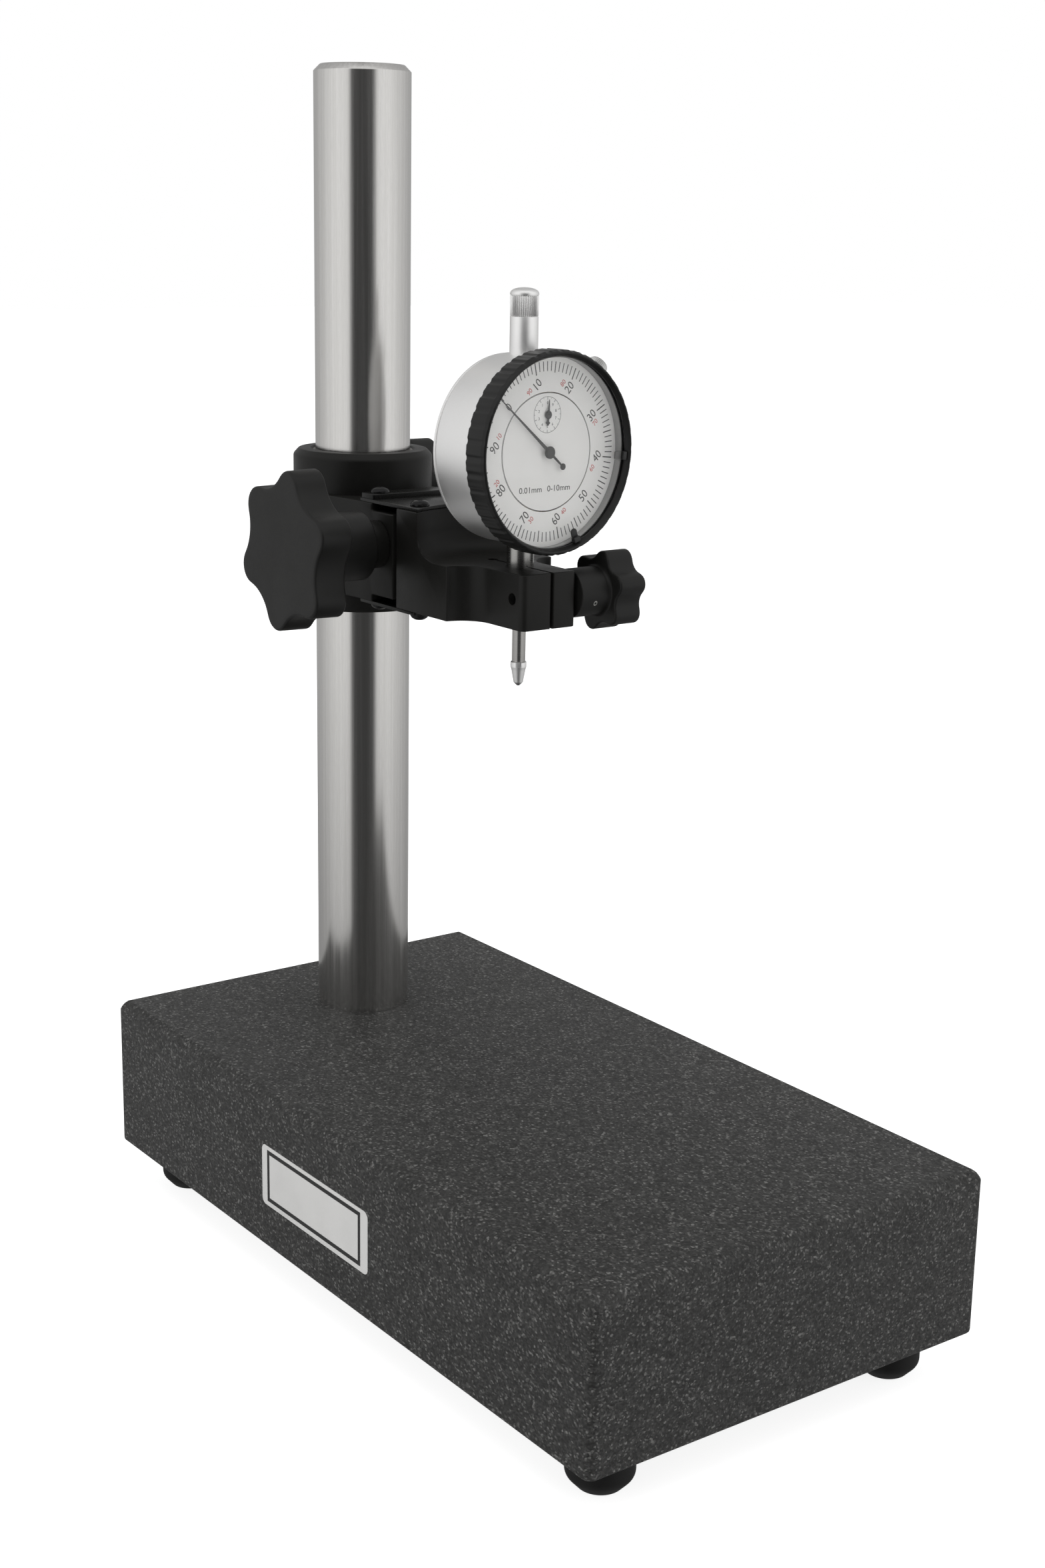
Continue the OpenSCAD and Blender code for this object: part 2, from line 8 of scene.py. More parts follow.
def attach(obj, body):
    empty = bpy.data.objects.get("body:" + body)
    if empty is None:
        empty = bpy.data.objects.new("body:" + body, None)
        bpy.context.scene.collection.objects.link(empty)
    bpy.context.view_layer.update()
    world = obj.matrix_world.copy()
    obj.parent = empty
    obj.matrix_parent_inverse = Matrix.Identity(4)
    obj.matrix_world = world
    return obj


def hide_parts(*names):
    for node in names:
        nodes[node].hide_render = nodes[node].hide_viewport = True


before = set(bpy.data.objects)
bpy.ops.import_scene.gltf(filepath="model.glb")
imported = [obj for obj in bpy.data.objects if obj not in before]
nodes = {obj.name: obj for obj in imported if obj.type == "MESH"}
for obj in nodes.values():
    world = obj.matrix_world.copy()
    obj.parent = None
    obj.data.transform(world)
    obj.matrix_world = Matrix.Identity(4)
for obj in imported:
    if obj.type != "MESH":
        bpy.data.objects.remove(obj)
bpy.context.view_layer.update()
scene = bpy.context.scene
PI = math.pi

# ---------------------------------------------------------------- shape tools
# Shapes are worked out in millimetres in the row frame, and scaled to metres
# when a piece is made.


def T(x, y, z):
    return Matrix.Translation((x, y, z))


def R(deg, axis):
    return Matrix.Rotation(math.radians(deg), 4, axis)


I4 = Matrix.Identity(4)
ALONG_X = R(90, "Y")                       # local Z becomes +X
GAUGE = T(0, 0.8, 256.5) @ R(6, "Z")       # the gauge's frame
FACE = GAUGE @ R(90, "X")                  # x right, y up, z out of the dial
COLUMN = T(0, 86.5, 0)


def faces_between(bm, a, b, mi=0):
    n = max(len(a), len(b))
    for i in range(n):
        j = (i + 1) % n
        if len(a) == 1:
            vs = (a[0], b[i], b[j])
        elif len(b) == 1:
            vs = (a[j], a[i], b[0])
        else:
            vs = (a[j], a[i], b[i], b[j])
        f = bm.faces.new(vs)
        f.material_index = mi


def lathe(bm, prof, m=I4, segs=96, closed=True, rf=None, mi=0):
    """Turned shape about local Z from (radius, height) points. rf may change a radius by angle."""
    rings = []
    for i, (r, h) in enumerate(prof):
        if r < 1e-6:
            rings.append([bm.verts.new(m @ Vector((0, 0, h)))])
            continue
        ring = []
        for k in range(segs):
            t = 2 * PI * k / segs
            q = rf(t, r, h, i) if rf else r
            ring.append(bm.verts.new(m @ Vector((q * math.cos(t), q * math.sin(t), h))))
        rings.append(ring)
    pairs = list(zip(rings, rings[1:]))
    if closed and not (len(rings[0]) == 1 and len(rings[-1]) == 1):
        pairs.append((rings[-1], rings[0]))
    for a, b in pairs:
        if len(a) == 1 and len(b) == 1:
            continue
        faces_between(bm, a, b, mi)
    return rings


def rnd(pts, r, n=3, closed=True):
    """Rounds the corners of an outline; r is one radius or one for each point."""
    out = []
    k = len(pts)
    for i, p in enumerate(pts):
        ri = r[i] if isinstance(r, (list, tuple)) else r
        if ri <= 0 or (not closed and i in (0, k - 1)):
            out.append(tuple(p))
            continue
        a, b, c = Vector(pts[i - 1]), Vector(p), Vector(pts[(i + 1) % k])
        u, v = a - b, c - b
        la, lc = u.length, v.length
        if la < 1e-6 or lc < 1e-6:
            out.append(tuple(p))
            continue
        u /= la
        v /= lc
        ang = math.acos(max(-1, min(1, u.dot(v))))
        if ang > math.radians(177):
            out.append(tuple(p))
            continue
        t = min(ri / math.tan(ang / 2), 0.49 * la, 0.49 * lc)
        rr = t * math.tan(ang / 2)
        c0 = b + (u + v).normalized() * (rr / math.sin(ang / 2))
        p0, p1 = b + u * t, b + v * t
        a0 = math.atan2(p0.y - c0.y, p0.x - c0.x)
        a1 = math.atan2(p1.y - c0.y, p1.x - c0.x)
        d = (a1 - a0 + PI) % (2 * PI) - PI
        for q in range(n + 1):
            w = a0 + d * q / n
            out.append((c0.x + rr * math.cos(w), c0.y + rr * math.sin(w)))
    return out


def arc(cx, cy, r, a0, a1, n):
    return [(cx + r * math.cos(math.radians(a0 + (a1 - a0) * i / n)),
             cy + r * math.sin(math.radians(a0 + (a1 - a0) * i / n))) for i in range(n + 1)]


def inset(pts, d):
    """Moves an anticlockwise outline inwards by d."""
    out = []
    k = len(pts)
    for i in range(k):
        a, b, c = Vector(pts[i - 1]), Vector(pts[i]), Vector(pts[(i + 1) % k])
        u, v = (b - a), (c - b)
        if u.length < 1e-9 or v.length < 1e-9:
            out.append(tuple(b))
            continue
        u.normalize()
        v.normalize()
        n1, n2 = Vector((-u.y, u.x)), Vector((-v.y, v.x))
        s = n1 + n2
        if s.length < 1e-6:
            out.append(tuple(b))
            continue
        s.normalize()
        out.append(tuple(b + s * (d / max(0.35, s.dot(n1)))))
    return out


def stack(bm, rings, m=I4, mi=0, caps=(True, True)):
    """Closed skin through outlines of equal length, each (points, height)."""
    vs = [[bm.verts.new(m @ Vector((x, y, h))) for x, y in pts] for pts, h in rings]
    for a, b in zip(vs, vs[1:]):
        faces_between(bm, a, b, mi)
    if caps[0]:
        bm.faces.new(vs[0]).material_index = mi
    if caps[1]:
        bm.faces.new(list(reversed(vs[-1]))).material_index = mi
    return vs


def prism(bm, pts, h0, h1, m=I4, e=0.0, e0=None, n=3, mi=0):
    """Extruded outline (anticlockwise) with rounded rims: e at the h1 end, e0 at the h0 end."""
    e0 = e if e0 is None else e0
    rings = []
    if e0 > 0:
        for q in range(n + 1):
            w = PI / 2 * q / n
            rings.append((inset(pts, e0 * (1 - math.sin(w))), h0 + e0 * (1 - math.cos(w))))
    else:
        rings.append((pts, h0))
    if e > 0:
        for q in range(n + 1):
            w = PI / 2 * q / n
            rings.append((inset(pts, e * (1 - math.cos(w))), h1 - e * (1 - math.sin(w))))
    else:
        rings.append((pts, h1))
    return stack(bm, rings, m, mi)


def rect(w, d, r=0.0, n=5, cx=0.0, cy=0.0):
    p = [(cx - w / 2, cy - d / 2), (cx + w / 2, cy - d / 2), (cx + w / 2, cy + d / 2), (cx - w / 2, cy + d / 2)]
    return rnd(p, r, n) if r > 0 else p


def cyl(bm, r, h0, h1, m=I4, segs=64, e=0.0, mi=0):
    prof = [(0, h0), (r, h0), (r, h1), (0, h1)]
    if e > 0:
        prof = rnd(prof, [0, e, e, 0], 3, closed=False)
    return lathe(bm, prof, m, segs, closed=False, mi=mi)


def new_bm():
    return bmesh.new()


def as_object(bm, name):
    bmesh.ops.recalc_face_normals(bm, faces=bm.faces)
    me = bpy.data.meshes.new(name)
    bm.to_mesh(me)
    bm.free()
    ob = bpy.data.objects.new(name, me)
    scene.collection.objects.link(ob)
    return ob


def carve(bm, cuts=(), adds=()):
    """Exact boolean: adds are joined to bm, then cuts are taken away. Gives a new bmesh."""
    base = as_object(bm, "tmp_base")
    tools = []
    for op, group in (("UNION", adds), ("DIFFERENCE", cuts)):
        for t in group:
            ob = as_object(t, "tmp_tool")
            tools.append(ob)
            mod = base.modifiers.new("b", "BOOLEAN")
            mod.operation = op
            mod.solver = "EXACT"
            mod.object = ob
    bpy.context.view_layer.update()
    dg = bpy.context.evaluated_depsgraph_get()
    me = bpy.data.meshes.new_from_object(base.evaluated_get(dg))
    out = new_bm()
    out.from_mesh(me)
    bpy.data.meshes.remove(me)
    for ob in tools + [base]:
        d = ob.data
        bpy.data.objects.remove(ob)
        bpy.data.meshes.remove(d)
    bmesh.ops.remove_doubles(out, verts=out.verts, dist=1e-4)
    bmesh.ops.dissolve_limit(out, angle_limit=math.radians(0.4), verts=out.verts, edges=out.edges)
    return out


def soften(bm, width, angle=30, segs=2, keep=None):
    """Rounds the sharp edges that keep() lets through."""
    bm.normal_update()
    es = [e for e in bm.edges if len(e.link_faces) == 2 and e.calc_face_angle(0) > math.radians(angle)
          and e.calc_length() > 1e-3 and (keep is None or keep(e))]
    bmesh.ops.bevel(bm, geom=es, offset=width, offset_type="OFFSET", segments=segs, profile=0.5,
                    affect="EDGES", clamp_overlap=False, loop_slide=True, miter_outer="ARC")
    bmesh.ops.remove_doubles(bm, verts=bm.verts, dist=2e-4)
    return bm


def piece(name, bm, body, mats, replaces=(), sharp=34):
    bmesh.ops.recalc_face_normals(bm, faces=bm.faces)
    bm.transform(Matrix.Scale(0.001, 4))
    me = bpy.data.meshes.new(name)
    bm.to_mesh(me)
    bm.free()
    ob = bpy.data.objects.new(name, me)
    scene.collection.objects.link(ob)
    me.polygons.foreach_set("use_smooth", [True] * len(me.polygons))
    me.set_sharp_from_angle(angle=math.radians(sharp))
    for mt in (mats if isinstance(mats, (list, tuple)) else [mats]):
        me.materials.append(mt)
    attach(ob, body)
    if replaces:
        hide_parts(*replaces)
    return ob


def lettering(bm, text, size, m, depth=0.02, mi=0, wide=1.0, bold=0.0, length=None):
    """Flat figures, drawn about their middle in local XY, standing up along local Z."""
    cu = bpy.data.curves.new("tmp_text", "FONT")
    cu.body = text
    cu.size = size
    cu.align_x = "CENTER"
    cu.align_y = "CENTER"
    cu.extrude = depth / 2
    cu.resolution_u = 3
    cu.offset = bold
    ob = bpy.data.objects.new("tmp_text", cu)
    scene.collection.objects.link(ob)
    bpy.context.view_layer.update()
    dg = bpy.context.evaluated_depsgraph_get()
    me = bpy.data.meshes.new_from_object(ob.evaluated_get(dg))
    xs = [v.co.x for v in me.vertices]
    ys = [v.co.y for v in me.vertices]
    cx, cy = (min(xs) + max(xs)) / 2, (min(ys) + max(ys)) / 2
    if length:
        wide = length / (max(xs) - min(xs))
    t = new_bm()
    t.from_mesh(me)
    t.transform(m @ Matrix.Diagonal((wide, 1, 1, 1)) @ T(-cx, -cy, depth / 2))
    for f in t.faces:
        f.material_index = mi
    me2 = bpy.data.meshes.new("tmp_join")
    t.to_mesh(me2)
    t.free()
    bm.from_mesh(me2)
    bpy.data.meshes.remove(me2)
    bpy.data.meshes.remove(me)
    bpy.data.objects.remove(ob)
    bpy.data.curves.remove(cu)


def tick(bm, ang, r0, r1, w, z0, z1, m, mi=0):
    """Radial bar at ang degrees clockwise from the top."""
    q = m @ R(-ang, "Z")
    prism(bm, [(-w / 2, r0), (w / 2, r0), (w / 2, r1), (-w / 2, r1)], z0, z1, q, mi=mi)


def ring_line(bm, r, w, z0, z1, m, segs=128, mi=0):
    lathe(bm, [(r - w / 2, z0), (r + w / 2, z0), (r + w / 2, z1), (r - w / 2, z1)], m, segs, mi=mi)


# ------------------------------------------------------------------ materials
class Mat:
    """Small helper round a node material with one Principled shader."""

    def __init__(self, name):
        self.m = bpy.data.materials.new(name)
        self.m.use_nodes = True
        self.t = self.m.node_tree
        self.t.nodes.clear()
        self.out = self.t.nodes.new("ShaderNodeOutputMaterial")
        self.b = self.t.nodes.new("ShaderNodeBsdfPrincipled")
        self.t.links.new(self.b.outputs[0], self.out.inputs[0])
        self.co = self.t.nodes.new("ShaderNodeTexCoord").outputs["Object"]

    def add(self, kind, ins=None, **props):
        n = self.t.nodes.new("ShaderNode" + kind)
        for k, v in props.items():
            setattr(n, k, v)
        for k, v in (ins or {}).items():
            if isinstance(v, bpy.types.NodeSocket):
                self.t.links.new(v, n.inputs[k])
            else:
                n.inputs[k].default_value = v
        return n

    def noise(self, scale, detail=4, rough=0.5, vec=None, dist=0.0):
        return self.add("TexNoise", {"Vector": vec or self.co, "Scale": scale, "Detail": detail, "Roughness": rough, "Distortion": dist}).outputs["Fac"]

    def scaled(self, x, y, z, vec=None):
        return self.add("Mapping", {"Vector": vec or self.co, "Scale": (x, y, z)}).outputs[0]

    def ramp(self, fac, stops, interp="LINEAR"):
        n = self.add("ValToRGB", {"Fac": fac})
        n.color_ramp.interpolation = interp
        e = n.color_ramp.elements
        while len(e) < len(stops):
            e.new(0.5)
        for x, (p, c) in zip(e, stops):
            x.position = p
            x.color = (c[0], c[1], c[2], 1) if isinstance(c, (tuple, list)) else (c, c, c, 1)
        return n.outputs["Color"]

    def range(self, v, a, b, c, d):
        return self.add("MapRange", {"Value": v, "From Min": a, "From Max": b, "To Min": c, "To Max": d}).outputs["Result"]

    def mix(self, fac, a, b, mode="MIX"):
        n = self.add("Mix", data_type="RGBA", blend_type=mode)
        for key, v in (("Factor", fac), ("A", a), ("B", b)):
            sock = [s for s in n.inputs if s.name == key and s.enabled][0]
            if isinstance(v, bpy.types.NodeSocket):
                self.t.links.new(v, sock)
            else:
                sock.default_value = v if not isinstance(v, tuple) else (v + (1,) if len(v) == 3 else v)
        return [s for s in n.outputs if s.enabled][0]

    def math(self, op, a, b=0.0):
        n = self.add("Math", operation=op)
        for i, v in enumerate((a, b)):
            if isinstance(v, bpy.types.NodeSocket):
                self.t.links.new(v, n.inputs[i])
            else:
                n.inputs[i].default_value = v
        return n.outputs[0]

    def set(self, **kw):
        for k, v in kw.items():
            k = k.replace("_", " ")
            if isinstance(v, bpy.types.NodeSocket):
                self.t.links.new(v, self.b.inputs[k])
            else:
                self.b.inputs[k].default_value = v
        return self

    def bump(self, height, strength, distance):
        n = self.add("Bump", {"Height": height, "Strength": strength, "Distance": distance})
        self.t.links.new(n.outputs[0], self.b.inputs["Normal"])
        return self


def granite():
    g = Mat("granite")
    # crystals of several sizes: pale flecks, dark mica and a fine ground mass
    v1 = g.add("TexVoronoi", {"Vector": g.scaled(1, 0.72, 1), "Scale": 1900.0, "Randomness": 1.0}, feature="F1")
    cell = g.add("SeparateColor", {"Color": v1.outputs["Color"]})
    warp = g.noise(700, 3, 0.6)
    fleck = g.ramp(g.math("ADD", cell.outputs[0], g.math("MULTIPLY", g.math("SUBTRACT", warp, 0.5), 0.5)),
                   [(0.0, 0.018), (0.45, 0.0265), (0.78, 0.038), (0.9, 0.060), (1.0, 0.12)])
    v2 = g.add("TexVoronoi", {"Vector": g.scaled(1, 1, 1.35), "Scale": 900.0, "Randomness": 1.0}, feature="F1")
    cell2 = g.add("SeparateColor", {"Color": v2.outputs["Color"]})
    dark = g.ramp(cell2.outputs[1], [(0.0, 0.68), (0.3, 0.86), (0.6, 1.0), (1.0, 1.06)])
    cloud = g.ramp(g.noise(60, 4, 0.6), [(0.3, 0.9), (0.7, 1.1)])
    fine = g.ramp(g.noise(2300, 2, 0.5), [(0.25, 0.8), (0.75, 1.2)])
    c = g.mix(1.0, fleck, dark, "MULTIPLY")
    c = g.mix(1.0, c, cloud, "MULTIPLY")
    c = g.mix(1.0, c, fine, "MULTIPLY")
    c = g.mix(1.0, c, (1.0, 0.99, 0.955), "MULTIPLY")
    g.set(Base_Color=c, Roughness=g.range(g.noise(900, 3, 0.5), 0.3, 0.7, 0.45, 0.62), Specular_IOR_Level=0.26)
    g.bump(g.math("ADD", g.noise(1500, 3, 0.6), cell.outputs[1]), 0.25, 0.00006)
    return g.m


def steel(name, color, rough, spread=0.06, lines=(60, 60, 5200), depth=0.1, dist=0.000015, stain=0.0):
    """Ground or turned steel; lines are the stretch of the grinding marks."""
    s = Mat(name)
    grind = s.noise(1.0, 4, 0.65, vec=s.scaled(*lines))
    cloud = s.noise(55, 4, 0.6)
    rr = s.math("ADD", s.range(grind, 0.25, 0.75, rough - spread, rough + spread), s.range(cloud, 0.3, 0.7, -0.03, 0.03))
    lo = tuple(x * (0.86 - stain) for x in color)
    c = s.mix(s.range(cloud, 0.35, 0.7, 0, 1), lo, color)
    c = s.mix(s.range(grind, 0.3, 0.7, 0.0, 0.35), c, tuple(min(1, x * 1.12) for x in color))
    s.set(Base_Color=c, Metallic=1.0, Roughness=rr)
    s.bump(grind, depth, dist)
    return s.m


def coat(name, lo, hi, r0, r1, spec=0.4, grain=1500, strength=0.12, dist=0.00004, patch=70, coatw=0.0):
    """Painted, blackened or moulded surface with a fine grain."""
    s = Mat(name)
    fine = s.noise(grain, 3, 0.55)
    cloud = s.noise(patch, 4, 0.6)
    c = s.ramp(s.math("ADD", s.math("MULTIPLY", cloud, 0.7), s.math("MULTIPLY", fine, 0.3)), [(0.3, lo), (0.7, hi)])
    s.set(Base_Color=c, Roughness=s.math("ADD", s.range(cloud, 0.3, 0.7, r0, r1), s.range(fine, 0.3, 0.7, -0.03, 0.03)),
          Specular_IOR_Level=spec)
    if coatw:
        s.set(Coat_Weight=coatw, Coat_Roughness=0.2)
    s.bump(fine, strength, dist)
    return s.m


def column_steel():
    """Ground bar: fine streaks along its length, and a very fine cross grain."""
    s = Mat("ground_steel")
    streak = s.noise(1.0, 5, 0.7, vec=s.scaled(900, 900, 6))
    fine = s.noise(1.0, 3, 0.6, vec=s.scaled(5200, 5200, 260))
    c = s.mix(s.range(streak, 0.3, 0.7, 0, 1), (0.60, 0.59, 0.57), (0.74, 0.73, 0.715))
    c = s.mix(s.range(fine, 0.3, 0.7, 0, 0.5), c, (0.58, 0.57, 0.555))
    s.set(Base_Color=c, Metallic=1.0, Roughness=s.range(streak, 0.3, 0.7, 0.15, 0.27))
    s.bump(s.math("ADD", streak, fine), 0.06, 0.00001)
    return s.m


M_GRANITE = granite()
M_COLUMN = column_steel()
M_ZINC = steel("zinc_steel", (0.55, 0.55, 0.54), 0.32, 0.06, (2500, 2500, 400), 0.15, 0.00002)
M_POLISH = steel("polished_steel", (0.66, 0.655, 0.64), 0.17, 0.04, (300, 300, 5000), 0.08, 0.00001)
M_STEM = steel("stem_steel", (0.40, 0.395, 0.38), 0.27, 0.05, (300, 300, 5000), 0.10, 0.00001)
M_ROD = steel("rod_steel", (0.64, 0.625, 0.605), 0.22, 0.05, (300, 300, 5000), 0.10, 0.00001)
M_BALL = steel("ball_steel", (0.5, 0.5, 0.51), 0.12, 0.03, (900, 900, 900), 0.05, 0.00001)
M_CHROME = steel("satin_chrome", (0.95, 0.945, 0.935), 0.44, 0.02, (1800, 1800, 1800), 0.03, 0.00001, -0.11)
M_BRASS = steel("brass", (0.72, 0.52, 0.22), 0.28, 0.05, (1500, 1500, 1500), 0.1, 0.00002)
M_BLUE = steel("spring_blue", (0.12, 0.17, 0.38), 0.22, 0.04, (2000, 2000, 2000), 0.05, 0.00001)
M_BLACK = coat("black_oxide", (0.0068, 0.0067, 0.0061), (0.0098, 0.0096, 0.0088), 0.36, 0.46, 0.17, 1300, 0.10, 0.00003)
M_LEAF = coat("leaf_steel", (0.005, 0.005, 0.0047), (0.0075, 0.0075, 0.007), 0.24, 0.32, 0.18, 900, 0.08, 0.00002)
M_SCREW = coat("black_screw", (0.005, 0.005, 0.0052), (0.009, 0.009, 0.0092), 0.14, 0.21, 0.2, 1600, 0.08, 0.00002)
M_KNOB = coat("knob_plastic", (0.0055, 0.0054, 0.005), (0.008, 0.0079, 0.0073), 0.42, 0.52, 0.27, 2200, 0.14, 0.00003)
M_RUBBER = coat("foot_rubber", (0.005, 0.005, 0.0048), (0.008, 0.008, 0.0076), 0.5, 0.62, 0.2, 1400, 0.2, 0.00005)
M_BEZEL = coat("bezel_black", (0.005, 0.005, 0.0048), (0.008, 0.008, 0.0076), 0.30, 0.38, 0.30, 1800, 0.08, 0.00002)
M_BUSH = coat("bush_plastic", (0.05, 0.047, 0.042), (0.08, 0.075, 0.066), 0.35, 0.5, 0.4, 1200, 0.1, 0.00003)
M_INK = coat("pointer_black", (0.008, 0.008, 0.008), (0.014, 0.014, 0.014), 0.4, 0.5, 0.4, 2500, 0.05, 0.00001)
M_RED = coat("figure_red", (0.42, 0.035, 0.03), (0.5, 0.05, 0.045), 0.45, 0.55, 0.4, 2500, 0.05, 0.00001)
M_DIAL = coat("dial_white", (0.77, 0.765, 0.755), (0.81, 0.805, 0.795), 0.5, 0.6, 0.4, 1800, 0.05, 0.00001, 40)
M_MARK = coat("marker_grey", (0.085, 0.085, 0.083), (0.11, 0.11, 0.107), 0.35, 0.45, 0.4, 1800, 0.05, 0.00001)
M_LABEL = coat("label", (0.50, 0.497, 0.488), (0.55, 0.547, 0.537), 0.38, 0.46, 0.5, 1500, 0.05, 0.00001)
# liner grey is darker than the wall's own pale tone: painted shade for the bezel's inner wall
M_LINER_PAINTED_SHADE = coat("liner_grey_painted_shade", (0.26, 0.26, 0.255), (0.30, 0.30, 0.295), 0.5, 0.6, 0.3, 1500, 0.05, 0.00001)


def clear_glass():
    s = Mat("crystal")
    s.set(Base_Color=(0.985, 0.985, 0.98, 1), Transmission_Weight=1.0, IOR=1.35,
          Roughness=s.range(s.noise(90, 3, 0.5), 0.3, 0.7, 0.008, 0.03))
    return s.m


M_GLASS = clear_glass()

# ---------------------------------------------------------------------- base


def build_granite():
    bm = new_bm()
    out = rect(140, 260, 3.0, 6)
    rings = []
    for ins, h in ((1.0, 14.0), (0.45, 14.12), (0.12, 14.45), (0.0, 15.0), (0.0, 61.0), (0.08, 61.35), (0.3, 61.72),
                   (1.15, 62.85), (2.0, 63.52), (2.45, 63.84), (2.85, 64.0)):
        rings.append((inset(out, ins), h))
    stack(bm, rings)
    cuts = []
    c = new_bm()
    cyl(c, 15.02, 49, 70, COLUMN, 128)
    cuts.append(c)
    c = new_bm()
    cyl(c, 13, 10, 27, COLUMN, 96)
    cuts.append(c)
    c = new_bm()
    cyl(c, 5.5, 20, 55, COLUMN, 64)
    cuts.append(c)
    c = new_bm()
    prism(c, rect(60.2, 19.8, 2.1, 5), -1.5, 0.5, T(-70, 3.1, 37.7) @ R(90, "Z") @ R(90, "X"))
    cuts.append(c)
    for sx in (-1, 1):
        for sy in (-1, 1):
            c = new_bm()
            cyl(c, 2.52, 10, 30, T(sx * 52.5, sy * 113, 0), 32)
            cuts.append(c)
    bm = carve(bm, cuts)
    piece("granite_plate", bm, "base", M_GRANITE, ["granite_base"], 28)


def build_feet():
    bm = new_bm()
    prof = rnd([(2.7, 7.0), (5.2, 7.0), (5.2, 0.5), (5.5, 0.0), (6.2, 0.0), (9.5, 3.6), (9.5, 13.6), (9.1, 14.0), (2.7, 14.0)],
               [0, 0.2, 0.3, 0.2, 0.6, 3.6, 0.3, 0.3, 0], 5)
    for sx in (-1, 1):
        for sy in (-1, 1):
            lathe(bm, prof, T(sx * 52.5, sy * 113, 0), 96)
    piece("rubber_feet", bm, "base", M_RUBBER, ["feet"])
    bm = new_bm()
    cross = new_bm()
    for sx in (-1, 1):
        for sy in (-1, 1):
            m = T(sx * 52.5, sy * 113, 0)
            lathe(bm, rnd([(0, 4.2), (3.4, 4.2), (4.6, 5.4), (4.6, 7.0), (2.5, 7.0), (2.5, 27.5), (0, 28)],
                          [0, 0.5, 0.5, 0.15, 0, 0.4, 0], 3, closed=False), m, 64, closed=False)
    cuts = []
    for sx in (-1, 1):
        for sy in (-1, 1):
            m = T(sx * 52.5, sy * 113, 0)
            for a in (0, 90):
                c = new_bm()
                prism(c, rect(5.6, 0.9), 3.5, 5.5, m @ R(a + 20 * sx, "Z"))
                cuts.append(c)
    cross.free()
    bm = carve(bm, cuts)
    piece("foot_screw_set", bm, "base", M_ZINC, ["foot_screws"])


def build_label():
    bm = new_bm()
    m = T(-70, 3.1, 37.7) @ R(-90, "Z") @ R(90, "X")      # x along -Y seen from the left, y up, z outwards
    prism(bm, rect(60, 19.6, 2.0, 6), -0.5, -0.03, m, e=0.12, e0=0.0, n=3)
    piece("label_blank", bm, "base", M_LABEL, ["label_plate"])
    bm = new_bm()
    # border line: 3.2 mm in at the rear end, 3.9 at the front end, 1.3 at the top, 1.6 at the bottom
    xo0, xo1, yo0, yo1 = -30 + 3.2, 30 - 3.9, -9.8 + 1.6, 9.8 - 1.3
    w = 1.3
    for x0, x1, y0, y1 in ((xo0, xo1, yo0, yo0 + w), (xo0, xo1, yo1 - w, yo1), (xo0, xo0 + w, yo0 + w, yo1 - w), (xo1 - w, xo1, yo0 + w, yo1 - w)):
        prism(bm, [(x0, y0), (x1, y0), (x1, y1), (x0, y1)], -0.04, -0.005, m)
    piece("label_border", bm, "base", M_INK)


def build_column():
    bm = new_bm()
    lathe(bm, rnd([(0, 49), (14, 49), (15, 50), (15, 363.0), (13, 365), (0, 365)], [0, 0.2, 0.3, 0.35, 0.35, 0], 3, closed=False),
          COLUMN, 192, closed=False)
    c = new_bm()
    cyl(c, 5.02, 40, 79, COLUMN, 48)
    bm = carve(bm, [c])
    piece("column_bar", bm, "base", M_COLUMN, ["column"])
    bm = new_bm()
    lathe(bm, rnd([(0, 15), (7.6, 15), (8, 15.4), (8, 25), (5, 25), (5, 73.4), (4.4, 74), (0, 74)], [0, 0.2, 0.2, 0.2, 0, 0.2, 0.2, 0], 2, closed=False),
          COLUMN, 96, closed=False, rf=lambda t, r, h, i: r - (0.12 if r > 7.9 and math.sin(t * 36) > 0 and h > 15.5 else 0))
    c = new_bm()
    prism(c, arc(0, 0, 4.62, 0, 300, 5), 10, 20, COLUMN)
    bm = carve(bm, [c])
    piece("column_bolt_head", bm, "base", M_SCREW, ["column_bolt"])
    bm = new_bm()
    lathe(bm, rnd([(5.4, 25), (12, 25), (12, 27), (5.4, 27)], 0.2, 2), COLUMN, 96)
    piece("column_washer_ring", bm, "base", M_ZINC, ["column_washer"])


# --------------------------------------------------------------------- clamp


def build_bush():
    bm = new_bm()
    lathe(bm, rnd([(15.05, 200.0), (15.8, 200.0), (15.8, 248.6), (15.05, 248.6)], 0.12, 2), COLUMN, 160)
    c = new_bm()
    prism(c, rect(2, 8, 0, cy=17), 190, 260, COLUMN)
    bm = carve(bm, [c])
    piece("split_bush", bm, "bush", M_BUSH, ["column_bush"])


